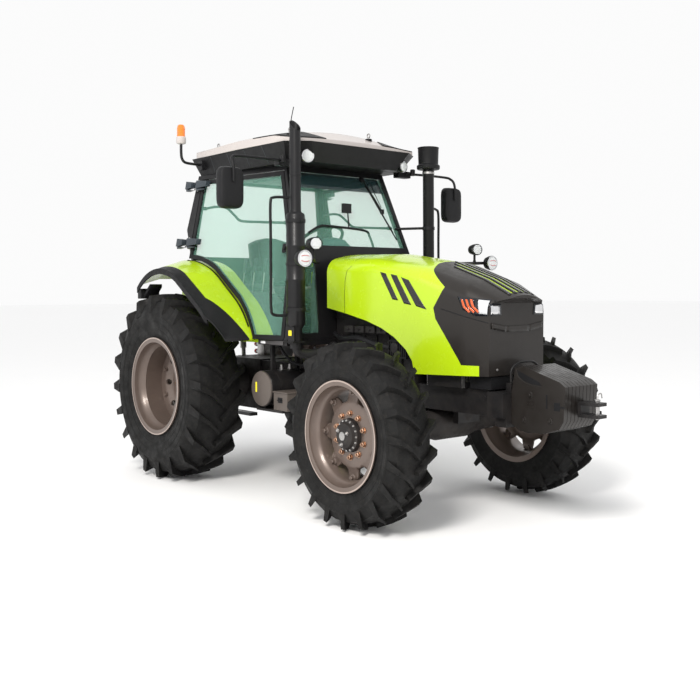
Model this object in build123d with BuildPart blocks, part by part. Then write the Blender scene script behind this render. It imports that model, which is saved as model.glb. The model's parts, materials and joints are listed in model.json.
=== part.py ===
from build123d import *
from math import atan2, cos, degrees, hypot, radians, sin, sqrt
import os

# Farm tractor, four-wheel drive, with a cab.  Millimetres.
# +X is forward, +Y is to the left, +Z is up, and the wheels stand on Z = 0.

# ---------------------------------------------------------------- driving dimensions
WHEELBASE = 2520
REAR_TYRE_R = 803
REAR_TYRE_HALF = 235
REAR_RIM_R = 422
REAR_RIM_HALF = 216
REAR_WHEEL_Y = 872
FRONT_TYRE_R = 640
FRONT_TYRE_HALF = 172
FRONT_RIM_R = 381
FRONT_RIM_HALF = 165
FRONT_WHEEL_Y = 878
LINK_REACH = 930            # rear axle to the rear end of the lower links
CLEVIS_REACH = 1385         # front axle to the front end of the tow clevis

REAR_X = (LINK_REACH - WHEELBASE - CLEVIS_REACH) / 2    # rear axle, from the middle
FRONT_X = REAR_X + WHEELBASE                            # front axle
REAR_Z = REAR_TYRE_R
FRONT_Z = FRONT_TYRE_R

PTO_R = 17.5                # radius of the power take-off stub
PTO_JOURNAL_R = 24
PTO_STUB = 88               # length of the stub behind the housing
PTO_Z = 640
TRUNNION_Z = 715            # front axle's swing pivot
STEER_ARM = 230
TIE_PIN_R = 12
CLEVIS_PIN_R = 15
LINK_BORE_R = 14.35         # category 2 lower hitch
RUN_GAP = 0.05              # radial clearance of a running fit
FACE_GAP = 0.5              # gap between faces that turn past each other
PANEL_GAP = 8               # gap round a door, lid or pane
MOVE_GAP = 12               # room kept between a moving piece and a fixed one

os.makedirs("parts", exist_ok=True)


def keep(piece, label):
    """Write one finished sub-part."""
    piece.part.label = label
    export_step(piece.part, f"parts/{label}.step")


def keep_pair(piece, label):
    """Write the right-hand sub-part and its mirror image on the left."""
    keep(piece, f"{label}_right")
    with BuildPart() as other:
        mirror(piece.part, about=Plane.XZ)
    keep(other, f"{label}_left")


def keep_both(piece, label):
    """Write the right-hand sub-part and its mirror image as one node of two solids."""
    with BuildPart() as pair:
        add(piece.part)
        mirror(piece.part, about=Plane.XZ)
    keep(pair, label)


# ---------------------------------------------------------------- tyres
LUG_ROWS = 20               # lugs on each side of a tyre
LUG_SLOPE = 4               # degrees that a lug's sides lean in
SIDEWALL = 24
RIM_SHEET = 12
BEAD_GAP = 7                # room between the tyre's bead and the rim's flange
# one lug on a tyre's left half, as shares of the half width:
# columns are distance out from the middle, forward shift, half length at the foot
LUG_OUTLINE = [(-0.03, 0.58, 0.12), (0.42, 0.14, 0.135), (1.0, -0.24, 0.165)]


def ring(half_section):
    """A solid of revolution about the Y axis; its section mirrors a list of (y, r)."""
    outline = half_section + [(-y, r) for y, r in reversed(half_section) if y > 0]
    with BuildPart() as piece:
        with BuildSketch(Plane.YZ):
            with BuildLine():
                Polyline(*outline, close=True)
            make_face()
        revolve(axis=Axis.Y)
    return piece.part


def tyre(radius, half, rim_r, rim_half, lug_height):
    """A tyre about the Y axis, centred on the origin: carcass and two rows of lugs.
    At the top of the wheel the chevrons point forward."""
    tread = 0.92 * half
    skirt_r = 0.81 * radius             # the lugs run down the shoulders to here
    foot_r = skirt_r - 8
    mid_r = (radius + rim_r) / 2 - 6
    base_r = radius - lug_height
    bead = rim_half - RIM_SHEET - BEAD_GAP
    crown = [(0, radius), (0.55 * tread, radius - 5), (tread, radius - 16), (half - 3, skirt_r)]
    carcass = [(0, base_r), (0.5 * tread, base_r - 6), (0.86 * tread, base_r - 28),
               (half - 8, skirt_r), (half, mid_r), (half - 14, (mid_r + rim_r) / 2),
               (bead, rim_r + 8)]
    air = [(0, base_r - 2 * SIDEWALL), (0.7 * tread, base_r - 2.4 * SIDEWALL),
           (half - SIDEWALL, mid_r + 10), (bead - SIDEWALL, rim_r - 21)]
    wide = [(shift * half, out * half, length * half) for out, shift, length in LUG_OUTLINE]
    with BuildPart() as lug:
        with BuildSketch(Plane.XY.offset(foot_r)):
            with BuildLine():
                Polyline(*[(x + length, y) for x, y, length in wide],
                         *[(x - length, y) for x, y, length in reversed(wide)], close=True)
            make_face()
        extrude(amount=radius - foot_r + 5, taper=LUG_SLOPE)
    nose = -degrees(wide[0][0] / radius)            # turns a lug's nose to the ground
    pitch = 360 / LUG_ROWS
    other = lug.part.mirror(Plane.XZ)
    lugs = [row.rotate(Axis.Y, nose + turn + k * pitch)
            for row, turn in ((lug.part, 0), (other, pitch / 2)) for k in range(LUG_ROWS)]
    with BuildPart() as piece:
        add(lugs)
        add(ring(crown + [(half - 3, foot_r - 5), (0, foot_r - 5)]), mode=Mode.INTERSECT)
        add(ring(carcass + [(bead, rim_r - 20), (0, rim_r - 20)]))
        # the air side: open between the beads, so that the carcass is a hoop
        add(ring(air + [(0, rim_r - 21)]), mode=Mode.SUBTRACT)
    return piece


rear_tyre = tyre(REAR_TYRE_R, REAR_TYRE_HALF, REAR_RIM_R, REAR_RIM_HALF, 42)
front_tyre = tyre(FRONT_TYRE_R, FRONT_TYRE_HALF, FRONT_RIM_R, FRONT_RIM_HALF, 38)

for tyre_piece, label, place in (
        (rear_tyre, "rear_tyre", (REAR_X, -REAR_WHEEL_Y, REAR_Z)),
        (front_tyre, "front_tyre", (FRONT_X, -FRONT_WHEEL_Y, FRONT_Z))):
    with BuildPart() as placed:
        add(tyre_piece.part.moved(Location(place)))
    keep_pair(placed, label)

# ---------------------------------------------------------------- wheels
RIM_WELL = 36               # depth of the well below the bead seats
FLANGE_DEPTH = 30           # height of the rim flange above the bead seat
DISC_T = 14


def rim_outline(flange_r, half):
    """The section of a rim's barrel, from the outer flange over the well and back."""
    seat = flange_r - FLANGE_DEPTH
    well = seat - RIM_WELL
    tyre_side = [(half - RIM_SHEET, flange_r), (half - RIM_SHEET - 5, seat), (half * 0.72, seat - 8),
                 (half * 0.52, well)]
    air_side = [(half, flange_r), (half - 6, seat - RIM_SHEET), (half * 0.74, seat - 20),
                (half * 0.55, well - RIM_SHEET)]
    upper = tyre_side + [(-y, r) for y, r in reversed(tyre_side)]
    lower = air_side + [(-y, r) for y, r in reversed(air_side)]
    return upper + lower[::-1]


def rim(flange_r, half, disc, bore_r, holes, hole_r, hole_circle):
    """A wheel rim about the Y axis with its disc.  disc lists (y, r) down to the bore."""
    with BuildPart() as piece:
        with BuildSketch(Plane.YZ):
            with BuildLine():
                Polyline(*rim_outline(flange_r, half), close=True)
            make_face()
            with BuildLine():
                back = [(y + DISC_T, r) for y, r in reversed(disc)]
                Polyline(*disc, *back, close=True)
            make_face()
        revolve(axis=Axis.Y)
        reach = 4 * half
        with BuildSketch(Plane.XZ.offset(-2 * half)):
            Circle(bore_r)
            with PolarLocations(hole_circle, holes):
                Circle(hole_r)
        extrude(amount=reach, mode=Mode.SUBTRACT)
    return piece


REAR_DISC_Y = 92            # disc's outer face, inboard of the wheel's middle
REAR_DISC = [(REAR_DISC_Y - 52, REAR_RIM_R - FLANGE_DEPTH - RIM_WELL - RIM_SHEET),
             (REAR_DISC_Y - 40, 290), (REAR_DISC_Y - 8, 235), (REAR_DISC_Y, 215),
             (REAR_DISC_Y, 76)]
FRONT_DISC_Y = -34
FRONT_DISC = [(FRONT_DISC_Y, FRONT_RIM_R - FLANGE_DEPTH - RIM_WELL - RIM_SHEET),
              (FRONT_DISC_Y - 6, 250), (FRONT_DISC_Y - 26, 215), (FRONT_DISC_Y - 26, 116)]
rear_rim = rim(REAR_RIM_R, REAR_RIM_HALF, REAR_DISC, 76, 8, 26, 262)
front_rim = rim(FRONT_RIM_R, FRONT_RIM_HALF, FRONT_DISC, 116, 8, 24, 250)
def turned(outline, place):
    """A solid turned about the Y axis from its (y, r) outline, set at its place."""
    with BuildPart() as piece:
        with BuildSketch(Plane.YZ):
            with BuildLine():
                Polyline(*outline, close=True)
            make_face()
        revolve(axis=Axis.Y)
    return piece.part.moved(Location(place))


# rear hub: a flange behind the disc, with studs through it, on the axle shaft
AXLE_SHAFT_R = 46
TRUMPET_END_Y = 740         # outer end of the axle housing
REAR_PLACE = (REAR_X, -REAR_WHEEL_Y, REAR_Z)
flange_back = REAR_WHEEL_Y - TRUMPET_END_Y - FACE_GAP
with BuildPart() as rear_hub:
    disc_back = REAR_DISC_Y + DISC_T
    add(turned([(disc_back, 0), (disc_back, 135), (flange_back, 135), (flange_back, AXLE_SHAFT_R),
                (flange_back + 120, AXLE_SHAFT_R), (flange_back + 120, 0)], REAR_PLACE))
    add(turned([(REAR_DISC_Y - 40, 0), (REAR_DISC_Y - 40, 60), (REAR_DISC_Y - 24, 72),
                (disc_back, 72), (disc_back, 0)], REAR_PLACE))
with BuildPart() as rear_wheel:
    add(rear_rim.part.moved(Location(REAR_PLACE)))
    add(rear_hub.part)
keep_pair(rear_wheel, "rear_rim")

# front hub: the planetary housing that the disc bolts to
SPINDLE_R = 45
SPINDLE_END = FRONT_WHEEL_Y - 20
FRONT_PLACE = (FRONT_X, -FRONT_WHEEL_Y, FRONT_Z)
front_back = FRONT_DISC[-1][0] + DISC_T
HUB_INNER = front_back + 95
with BuildPart() as front_hub:
    face = FRONT_DISC_Y - 98
    add(turned([(face, 0), (face, 62), (face + 14, 84), (face + 34, 92), (face + 40, 112),
                (front_back, 114), (front_back, 172), (front_back + 20, 172),
                (front_back + 24, 130), (HUB_INNER, 120), (HUB_INNER, 0)], FRONT_PLACE))
    with Locations(Location((FRONT_X, -FRONT_WHEEL_Y + HUB_INNER, FRONT_Z), (90, 0, 0))):
        Hole(SPINDLE_R + RUN_GAP, 100)
keep_pair(front_hub, "front_hub")
with BuildPart() as front_wheel:
    add(front_rim.part.moved(Location(FRONT_PLACE)))
keep_pair(front_wheel, "front_rim")


def box(x0, x1, y0, y1, z0, z1):
    """A block between two corners; x counts from the rear axle."""
    with BuildPart() as piece:
        with Locations((REAR_X + (x0 + x1) / 2, (y0 + y1) / 2, (z0 + z1) / 2)):
            Box(abs(x1 - x0), abs(y1 - y0), abs(z1 - z0))
    return piece.part


def side_plate(points, y0, y1):
    """A plate with its outline in the XZ plane, from y0 to y1; x counts from the rear axle."""
    with BuildPart() as piece:
        with BuildSketch(Plane.XZ.offset(-y1)):
            with BuildLine():
                Polyline(*[(REAR_X + x, z) for x, z in points], close=True)
            make_face()
        extrude(amount=y1 - y0)
    return piece.part


def tube(points, radius, bends):
    """A round bar along straight runs joined by arcs; x counts from the rear axle."""
    route = [(REAR_X + x, y, z) for x, y, z in points]
    with BuildPart() as piece:
        with BuildLine() as path:
            if bends:
                FilletPolyline(*route, radius=bends)
            else:
                Polyline(*route)
        start = path.wires()[0]
        with BuildSketch(Plane(origin=start @ 0, z_dir=start % 0)):
            Circle(radius)
        sweep(path=start)
    return piece.part


def rod(start, end, radius):
    """A straight round bar; x counts from the rear axle."""
    a = Vector(REAR_X + start[0], start[1], start[2])
    b = Vector(REAR_X + end[0], end[1], end[2])
    with BuildPart() as piece:
        with BuildSketch(Plane(origin=a, z_dir=b - a)):
            Circle(radius)
        extrude(amount=(b - a).length)
    return piece.part


# ---------------------------------------------------------------- driveline and chassis
KINGPIN_Y = 700
KINGPIN_R = 26
EYE_R = 58
EYE_HALF = 62               # half height of the beam's end eye
FORK_T = 34
FORK_GAP = 1
ENGINE_HALF = 250
AXLE_Z = FRONT_Z

with BuildPart() as rear_axle_housing:
    add(box(-260, 330, -215, 215, 560, 1010))
    add(turned([(-TRUMPET_END_Y, 0), (-TRUMPET_END_Y, 118), (-TRUMPET_END_Y + 24, 118),
                (-TRUMPET_END_Y + 40, 92), (-420, 100), (-250, 150), (-180, 165),
                (180, 165), (250, 150), (420, 100), (TRUMPET_END_Y - 40, 92),
                (TRUMPET_END_Y - 24, 118), (TRUMPET_END_Y, 118), (TRUMPET_END_Y, 0)],
               (REAR_X, 0, REAR_Z)))
    for side in (-1, 1):
        with Locations(Location((REAR_X, side * (TRUMPET_END_Y - 63), REAR_Z), (90, 0, 0))):
            Cylinder(AXLE_SHAFT_R + RUN_GAP, 128, mode=Mode.SUBTRACT)
    # power take-off shaft's bearing bore
    with Locations(Location((REAR_X - 190, 0, PTO_Z), (0, 90, 0))):
        Cylinder(PTO_JOURNAL_R + RUN_GAP, 150, mode=Mode.SUBTRACT)
keep(rear_axle_housing, "rear_axle_housing")

with BuildPart() as transmission:
    add(box(331, 1400, -200, 200, 560, 1000))
    add(rod((1400, 0, 600), (WHEELBASE - 152, 0, 620), 30))
keep(transmission, "transmission_housing")

with BuildPart() as engine:
    add(box(1500, 2420, -ENGINE_HALF, ENGINE_HALF, 790, 1520))
    add(box(1401, 1500, -230, 230, 700, 1190))
    add(box(1500, 2180, -150, 150, 700, 790))
keep(engine, "engine_block")

with BuildPart() as front_axle:
    outline = [(-670, 0), (-670, 60), (-560, 70), (-240, 92), (-150, 118)]
    add(turned(outline + [(-y, r) for y, r in reversed(outline)], (FRONT_X, 0, AXLE_Z)))
    for side in (-1, 1):
        with Locations((FRONT_X, side * KINGPIN_Y, AXLE_Z)):
            Cylinder(EYE_R, 2 * EYE_HALF)
            Cylinder(KINGPIN_R + RUN_GAP, 2 * EYE_HALF + 2, mode=Mode.SUBTRACT)
    with Locations(Location((FRONT_X, 0, TRUNNION_Z), (0, 90, 0))):
        Cylinder(42, 420)
keep(front_axle, "front_axle_beam")

with BuildPart() as knuckle:
    wall_in = -(KINGPIN_Y + EYE_R + 8)
    wall_out = wall_in - 36
    fork_z = EYE_HALF + FORK_GAP
    for low in (AXLE_Z + fork_z, AXLE_Z - fork_z - FORK_T):
        with Locations((FRONT_X, -KINGPIN_Y, low + FORK_T / 2)):
            Cylinder(EYE_R, FORK_T)
        add(box(WHEELBASE - 50, WHEELBASE + 50, wall_out, -KINGPIN_Y, low, low + FORK_T))
    add(box(WHEELBASE - 60, WHEELBASE + 60, wall_out, wall_in, AXLE_Z - fork_z - FORK_T,
            AXLE_Z + fork_z + FORK_T))
    with Locations((FRONT_X, -KINGPIN_Y, AXLE_Z)):
        Cylinder(KINGPIN_R, 2 * fork_z)
    add(rod((WHEELBASE, wall_out, AXLE_Z), (WHEELBASE, -FRONT_WHEEL_Y + HUB_INNER - 92, AXLE_Z),
            SPINDLE_R))
    arm_top = AXLE_Z - fork_z
    add(box(WHEELBASE - STEER_ARM, WHEELBASE, -KINGPIN_Y - 26, -KINGPIN_Y + 26, arm_top - FORK_T,
            arm_top))
    with Locations((FRONT_X - STEER_ARM, -KINGPIN_Y, arm_top - FORK_T / 2)):
        Cylinder(26, FORK_T)
    with Locations((FRONT_X - STEER_ARM, -KINGPIN_Y, arm_top - FORK_T - 15)):
        Cylinder(TIE_PIN_R, 30)
keep_pair(knuckle, "knuckle")

with BuildPart() as tie_rod:
    tie_z = AXLE_Z - EYE_HALF - 2 * FORK_GAP - FORK_T - 14
    add(rod((WHEELBASE - STEER_ARM, -KINGPIN_Y, tie_z), (WHEELBASE - STEER_ARM, KINGPIN_Y, tie_z), 13))
    for side in (-1, 1):
        with Locations((FRONT_X - STEER_ARM, side * KINGPIN_Y, tie_z)):
            Cylinder(26, 28)
            Cylinder(TIE_PIN_R + RUN_GAP, 40, mode=Mode.SUBTRACT)
keep(tie_rod, "tie_rod")

with BuildPart() as front_frame:
    for side in (-1, 1):
        add(box(2421, 3140, side * 170, side * 225, 764, 940))
    add(box(2300, 3140, -170, 170, 764, 789))
    add(box(2421, 3140, -170, 170, 789, 830))
    for x in (WHEELBASE - 210, WHEELBASE + 160):
        add(box(x, x + 50, -110, 110, 660, 789))
    with Locations(Location((FRONT_X, 0, TRUNNION_Z), (0, 90, 0))):
        Cylinder(42 + RUN_GAP, 440, mode=Mode.SUBTRACT)
    add(box(3140, 3288, -250, 250, 764, 935))
    add(box(3200, 3288, -225, 225, 700, 764))
keep(front_frame, "front_frame")

with BuildPart() as radiator:
    add(box(2600, 2940, -290, 290, 945, 1480))
keep(radiator, "radiator")

# ---------------------------------------------------------------- front weights
PLATES = 9
PLATE_PITCH = 38
PLATE_T = 34
WEIGHT_OUTLINE = [(3289, 935), (3323, 1099), (3385, 1117), (3693, 1030), (3741, 999), (3727, 776),
                  (3692, 724), (3550, 680), (3365, 682), (3289, 723)]
with BuildPart() as weights:
    for k in range(PLATES):
        y = (k - (PLATES - 1) / 2) * PLATE_PITCH
        add(side_plate(WEIGHT_OUTLINE, y - PLATE_T / 2, y + PLATE_T / 2))
    span = (PLATES - 1) * PLATE_PITCH / 2
    add(side_plate([(3330, 760), (3330, 1050), (3600, 980), (3600, 760)], -span, span))
    add(box(3290, 3292, -span, span, 760, 900))
keep(weights, "front_weights")

with BuildPart() as clevis:
    tip = WHEELBASE + CLEVIS_REACH
    for z in (800, 878):
        add(box(3742, tip, -45, 45, z, z + 22))
    add(box(3742, 3770, -45, 45, 800, 900))
    with Locations((REAR_X + tip - 40, 0, 850)):
        Cylinder(CLEVIS_PIN_R + 1, 200, mode=Mode.SUBTRACT)
keep(clevis, "tow_clevis")

# ---------------------------------------------------------------- hood
HOOD_WALL = 10
HOOD_HINGE = (1610, 1800)
# columns: x, ridge height, half width at the side
HOOD_SECTIONS = [(1548, 1918, 385), (2080, 1905, 385), (2600, 1832, 372), (3000, 1706, 330),
                 (3272, 1588, 262)]
NOSE_CUT = [(3274, 1610), (3268, 1566), (3196, 1532), (3188, 1030), (3188, 900), (3500, 900),
            (3500, 1610)]
NOSE_SPLIT = [(2572, 2000), (2572, 1840), (2830, 1645), (2731, 1500), (2750, 1422), (2953, 1144),
              (2976, 1108), (3116, 1108), (3116, 900), (3500, 900), (3500, 2000)]
HOOD_ARCH = [(1400, 1480), (1546, 1489), (1779, 1448), (2037, 1394), (2202, 1344), (2338, 1281),
             (2460, 1196), (2525, 1118), (2551, 1025), (3116, 1038), (3300, 1038), (3300, 850),
             (1400, 850)]


def hood_body(wall):
    """The hood's whole outer form, or its inside at a wall's depth."""
    with BuildPart() as piece:
        for x, ridge, half in HOOD_SECTIONS:
            edge = half - wall
            top = ridge - wall
            with BuildSketch(Plane.YZ.offset(REAR_X + x)):
                with BuildLine():
                    side = Line((-edge, 880 - wall), (-edge, top - 160))
                    roll = ThreePointArc(side @ 1, (-edge + 22, top - 85), (-edge + 78, top - 42))
                    crown = ThreePointArc(roll @ 1, (0, top), (edge - 78, top - 42))
                    roll = ThreePointArc(crown @ 1, (edge - 22, top - 85), (edge, top - 160))
                    foot = Line(roll @ 1, (edge, 880 - wall))
                    Line(foot @ 1, side @ 0)
                make_face()
        loft(ruled=True)
    return piece.part


with BuildPart() as hood_shell:
    add(hood_body(0))
    add(side_plate(NOSE_CUT, -500, 500), mode=Mode.SUBTRACT)
    add(hood_body(HOOD_WALL) & side_plate([(1400, 880), (1400, 2000), (3176, 2000), (3176, 880)],
                                          -500, 500), mode=Mode.SUBTRACT)
    add(side_plate(HOOD_ARCH, -500, 500), mode=Mode.SUBTRACT)

with BuildPart() as hood:
    add(hood_shell.part)
    add(side_plate(NOSE_SPLIT, -500, 500), mode=Mode.SUBTRACT)
keep(hood, "hood")

with BuildPart() as nose:
    add(hood_shell.part)
    add(side_plate(NOSE_SPLIT, -500, 500), mode=Mode.INTERSECT)
keep(nose, "hood_nose")

with BuildPart() as lower_grille:
    add(box(2980, 3176, -250, 250, 946, 1030))
keep(lower_grille, "lower_grille")

# ---------------------------------------------------------------- cab
# The cab's sides lean in towards the roof and close in towards the front.
SIDE_Y = 800                # half width of the cab at SIDE_X, SIDE_Z
SIDE_X = 140
SIDE_Z = 1925
SIDE_CLOSE = 0.145          # narrower by this for each unit forward
SIDE_LEAN = 0.189           # and by this for each unit up
POST = 48
DOOR_T = 30
GLASS_T = 6
FLOOR_Z = 1238
CAB_PROFILE = [(0, FLOOR_Z), (0, 1880), (70, 2645), (1178, 2645), (1432, 1950), (1494, FLOOR_Z)]
CAB_INSIDE = [(POST, FLOOR_Z - 5), (POST, 1880), (70 + POST, 2700), (1100, 2700), (1150, 2600),
              (1382, 1945), (1442, FLOOR_Z - 5)]
# door outline without its lower rear corner, which the sill curve takes away
DOOR_OUTLINE = [(118, 1240), (118, 1925), (133, 2600), (1160, 2600), (1392, 1940), (1452, 1262),
                (1440, 1240)]
DOOR_RIM = 36


def side_plane(inset):
    """The plane of the cab's right-hand side, moved in by an inset."""
    normal = Vector(SIDE_CLOSE, -1, SIDE_LEAN).normalized()
    origin = Vector(REAR_X + SIDE_X, -SIDE_Y, SIDE_Z) - normal * inset
    return Plane(origin=origin, x_dir=(1, SIDE_CLOSE, 0), z_dir=normal)


def side_y(x, z, inset=0):
    """Distance of the cab's side from the middle at x and z."""
    slope = sqrt(1 + SIDE_CLOSE ** 2 + SIDE_LEAN ** 2)
    return SIDE_Y - SIDE_CLOSE * (x - SIDE_X) - SIDE_LEAN * (z - SIDE_Z) - inset * slope


def side_slab(inset, thickness):
    """A flat slab along the cab's right-hand side, from an inset inwards."""
    with BuildPart() as piece:
        with BuildSketch(side_plane(inset)):
            Rectangle(5000, 5000)
        extrude(amount=-thickness)
    return piece.part


def cab_form(profile, inset):
    """The block of a cab profile between both leaning sides."""
    block = side_plate(profile, -1200, 1200)
    half = block & side_slab(inset, 1500)
    return half & half.mirror(Plane.XZ)


# the cab's lower edge over the wheel: rear end, top, front of the crown, foot of the slope,
# heel, end of the heel
SILL = [(-400, 1765), (60, 1912), (500, 1800), (850, 1553), (1003, 1390), (1090, 1256)]


def sill_curve(lift):
    """The cab's lower edge over the wheel: crown, slope and heel, raised by lift."""
    points = [(REAR_X + x, z + lift) for x, z in SILL]
    arc = ThreePointArc(points[0], points[1], points[2])
    slope = Line(arc @ 1, points[3])
    heel = ThreePointArc(slope @ 1, points[4], points[5])
    return arc, slope, heel


def sill_region(lift, y0, y1, foot=800):
    """Everything below the sill curve, raised by lift."""
    with BuildPart() as piece:
        with BuildSketch(Plane.XZ.offset(-y1)):
            with BuildLine():
                arc, slope, heel = sill_curve(lift)
                Polyline(heel @ 1, ((heel @ 1).X, foot), ((arc @ 0).X, foot), arc @ 0)
            make_face()
        extrude(amount=y1 - y0)
    return piece.part


with BuildPart() as cab_frame:
    add(cab_form(CAB_PROFILE, 0))
    add(cab_form(CAB_INSIDE, POST), mode=Mode.SUBTRACT)
    # door openings
    with BuildSketch(Plane.XZ.offset(-1200)):
        with BuildLine():
            Polyline(*[(REAR_X + x, z) for x, z in DOOR_OUTLINE], close=True)
        make_face()
        offset(amount=PANEL_GAP, kind=Kind.INTERSECTION)
    extrude(amount=2400, mode=Mode.SUBTRACT)
    # windscreen, quarter panes and rear window
    with BuildSketch(Plane.YZ.offset(REAR_X + 1050)):
        for outline in ([(-570, 1990), (570, 1990), (480, 2600), (-480, 2600)],
                        [(420, 1290), (660, 1290), (590, 1900), (420, 1900)],
                        [(-420, 1290), (-660, 1290), (-590, 1900), (-420, 1900)]):
            with BuildLine():
                Polyline(*outline, close=True)
            make_face()
    extrude(amount=600, mode=Mode.SUBTRACT)
    with BuildSketch(Plane.YZ.offset(REAR_X - 200)):
        with BuildLine():
            Polyline((-700, 1930), (700, 1930), (610, 2590), (-610, 2590), close=True)
        make_face()
    extrude(amount=320, mode=Mode.SUBTRACT)
    add(sill_region(-12, -1200, -575), mode=Mode.SUBTRACT)
    add(sill_region(-12, 575, 1200), mode=Mode.SUBTRACT)
keep(cab_frame, "cab_frame")



def door_blank(inset, thickness, margin):
    """The door's outline as a slab: an inset from its face, a thickness, a margin all round."""
    with BuildPart() as piece:
        with BuildSketch(Plane.XZ.offset(1200)):
            with BuildLine():
                Polyline(*[(REAR_X + x, z) for x, z in DOOR_OUTLINE], close=True)
            make_face()
            if margin:
                offset(amount=-margin, kind=Kind.INTERSECTION, mode=Mode.REPLACE)
        extrude(amount=-1200)
        add(sill_region(margin, -1200, 0), mode=Mode.SUBTRACT)
        add(side_slab(inset, thickness), mode=Mode.INTERSECT)
    return piece.part


with BuildPart() as door_frame:
    add(door_blank(0, DOOR_T, 0))
    add(door_blank(-1, DOOR_T + 2, DOOR_RIM), mode=Mode.SUBTRACT)
keep_pair(door_frame, "door_frame")

with BuildPart() as door_glass:
    add(door_blank(10, GLASS_T, DOOR_RIM))
keep_pair(door_glass, "door_glass")


def pane(outline, x0, x1):
    """A pane cut from a cab wall: its outline in the YZ plane, between two lines in XZ."""
    with BuildPart() as piece:
        with BuildSketch(Plane.YZ.offset(REAR_X - 300)):
            with BuildLine():
                Polyline(*outline, close=True)
            make_face()
        extrude(amount=2200)
        add(side_plate(x0 + x1, -1200, 1200), mode=Mode.INTERSECT)
    return piece.part


with BuildPart() as windscreen:
    add(pane([(-570, 1990), (570, 1990), (480, 2600), (-480, 2600)],
             [(1411, 1950), (1157, 2645)], [(1163, 2645), (1417, 1950)]))
    for side in (-1, 1):
        add(pane([(side * 420, 1290), (side * 660, 1290), (side * 590, 1900), (side * 420, 1900)],
                 [(1473, FLOOR_Z), (1414, 1930)], [(1420, 1930), (1479, FLOOR_Z)]))
keep(windscreen, "windscreen")

with BuildPart() as rear_window:
    add(pane([(-700, 1930), (700, 1930), (610, 2590), (-610, 2590)],
             [(22, 1880), (92, 2645)], [(98, 2645), (28, 1880)]))
keep(rear_window, "rear_window")

with BuildPart() as platform:
    add(box(60, 1500, -540, 540, 1196, FLOOR_Z - 1))
    for side in (-1, 1):
        add(box(1100, 1500, side * 540, side * 740, 1196, FLOOR_Z - 1))
keep(platform, "cab_platform")

# ---------------------------------------------------------------- fenders
CROWN_T = 12
FENDER_IN = 575             # inner wall of the fender, inboard of the tyre
FENDER_SEAL = 812           # just outside the cab's side, where the crown begins to fall
FENDER_OUT = 1020           # the crown's outer edge, where the black flare begins
FLARE_OUT = 1105
SEAL_BACK = 6               # the fender's seal line behind and below the cab's lower edge
SEAL_DROP = 15
# the crown's curve at each y: rear end, top, front of the crown, foot of the slope, heel, end
CROWN_CURVES = {
    FENDER_SEAL: [(x - SEAL_BACK, z - SEAL_DROP) for x, z in SILL],
    FENDER_OUT: [(-330, 1700), (60, 1838), (430, 1775), (800, 1545), (945, 1405), (1050, 1235)],
    FLARE_OUT: [(-250, 1660), (60, 1812), (430, 1752), (800, 1515), (985, 1350), (1110, 1205)],
}
# the crown's edges seen from above, where the painted part ends and where the black flare ends
PAINT_EDGE = [(760, 1020), (900, 935), (1010, 865), (1100, 800)]
FLARE_EDGE = [(900, 1118), (1020, 1050), (1100, 950), (1130, 800)]


def crown_band(y, thickness):
    """The closed section of the crown at y, on the right-hand side."""
    upper = [(REAR_X + x, z) for x, z in CROWN_CURVES[y]]
    lower = [(x, z - thickness) for x, z in upper]
    with BuildSketch(Plane.XZ.offset(y)) as section:
        with BuildLine():
            for pts in (upper, lower):
                ThreePointArc(pts[0], pts[1], pts[2])
                Line(pts[2], pts[3])
                ThreePointArc(pts[3], pts[4], pts[5])
            Line(upper[0], lower[0])
            Line(upper[5], lower[5])
        make_face()
    return section.sketch




def crown_region(edge):
    """Everything inboard of a crown edge on the right-hand side, at all heights."""
    inner = [(edge[-1][0], 400), (-1000, 400), (-1000, edge[0][1])]
    with BuildPart() as piece:
        with BuildSketch(Plane.XY.offset(1000)):
            with BuildLine():
                Polyline(*[(REAR_X + x, -y) for x, y in edge + inner], close=True)
            make_face()
        extrude(amount=1200)
    return piece.part


with BuildPart() as crown:
    loft([crown_band(FENDER_SEAL, CROWN_T), crown_band(FENDER_OUT, CROWN_T)], ruled=True)

with BuildPart() as fender:
    add(crown.part & crown_region(PAINT_EDGE))
    band = crown_band(FENDER_SEAL, CROWN_T)
    extrude(band.moved(Location((0, FENDER_SEAL - FENDER_IN, 0))), amount=FENDER_SEAL - FENDER_IN)
    add(sill_region(-25, -FENDER_IN - CROWN_T, -FENDER_IN, 1196))
keep_both(fender, "fenders")

with BuildPart() as flare:
    loft([crown_band(FENDER_OUT, CROWN_T), crown_band(FLARE_OUT, CROWN_T)], ruled=True)
    band = crown_band(FLARE_OUT, 48)
    extrude(band, amount=12)
    add(crown.part - crown_region(PAINT_EDGE))
    add(crown_region(FLARE_EDGE), mode=Mode.INTERSECT)
keep_both(flare, "fender_flares")

# ---------------------------------------------------------------- roof
# columns: x, half width, height of the edge, height of the crown
ROOF_SECTIONS = [(-95, 600, 2818, 2832), (60, 690, 2850, 2915), (720, 710, 2865, 2985),
                 (1250, 690, 2855, 2940), (1440, 640, 2826, 2850)]
ROOF_FOOT = 2800
with BuildPart() as roof:
    for x, half, edge, crown in ROOF_SECTIONS:
        with BuildSketch(Plane.YZ.offset(REAR_X + x)):
            with BuildLine():
                top = ThreePointArc((-half, edge), (0, crown), (half, edge))
                Polyline(top @ 1, (half, ROOF_FOOT), (-half, ROOF_FOOT), top @ 0)
            make_face()
    loft(ruled=True)
keep(roof, "roof_cap")

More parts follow.
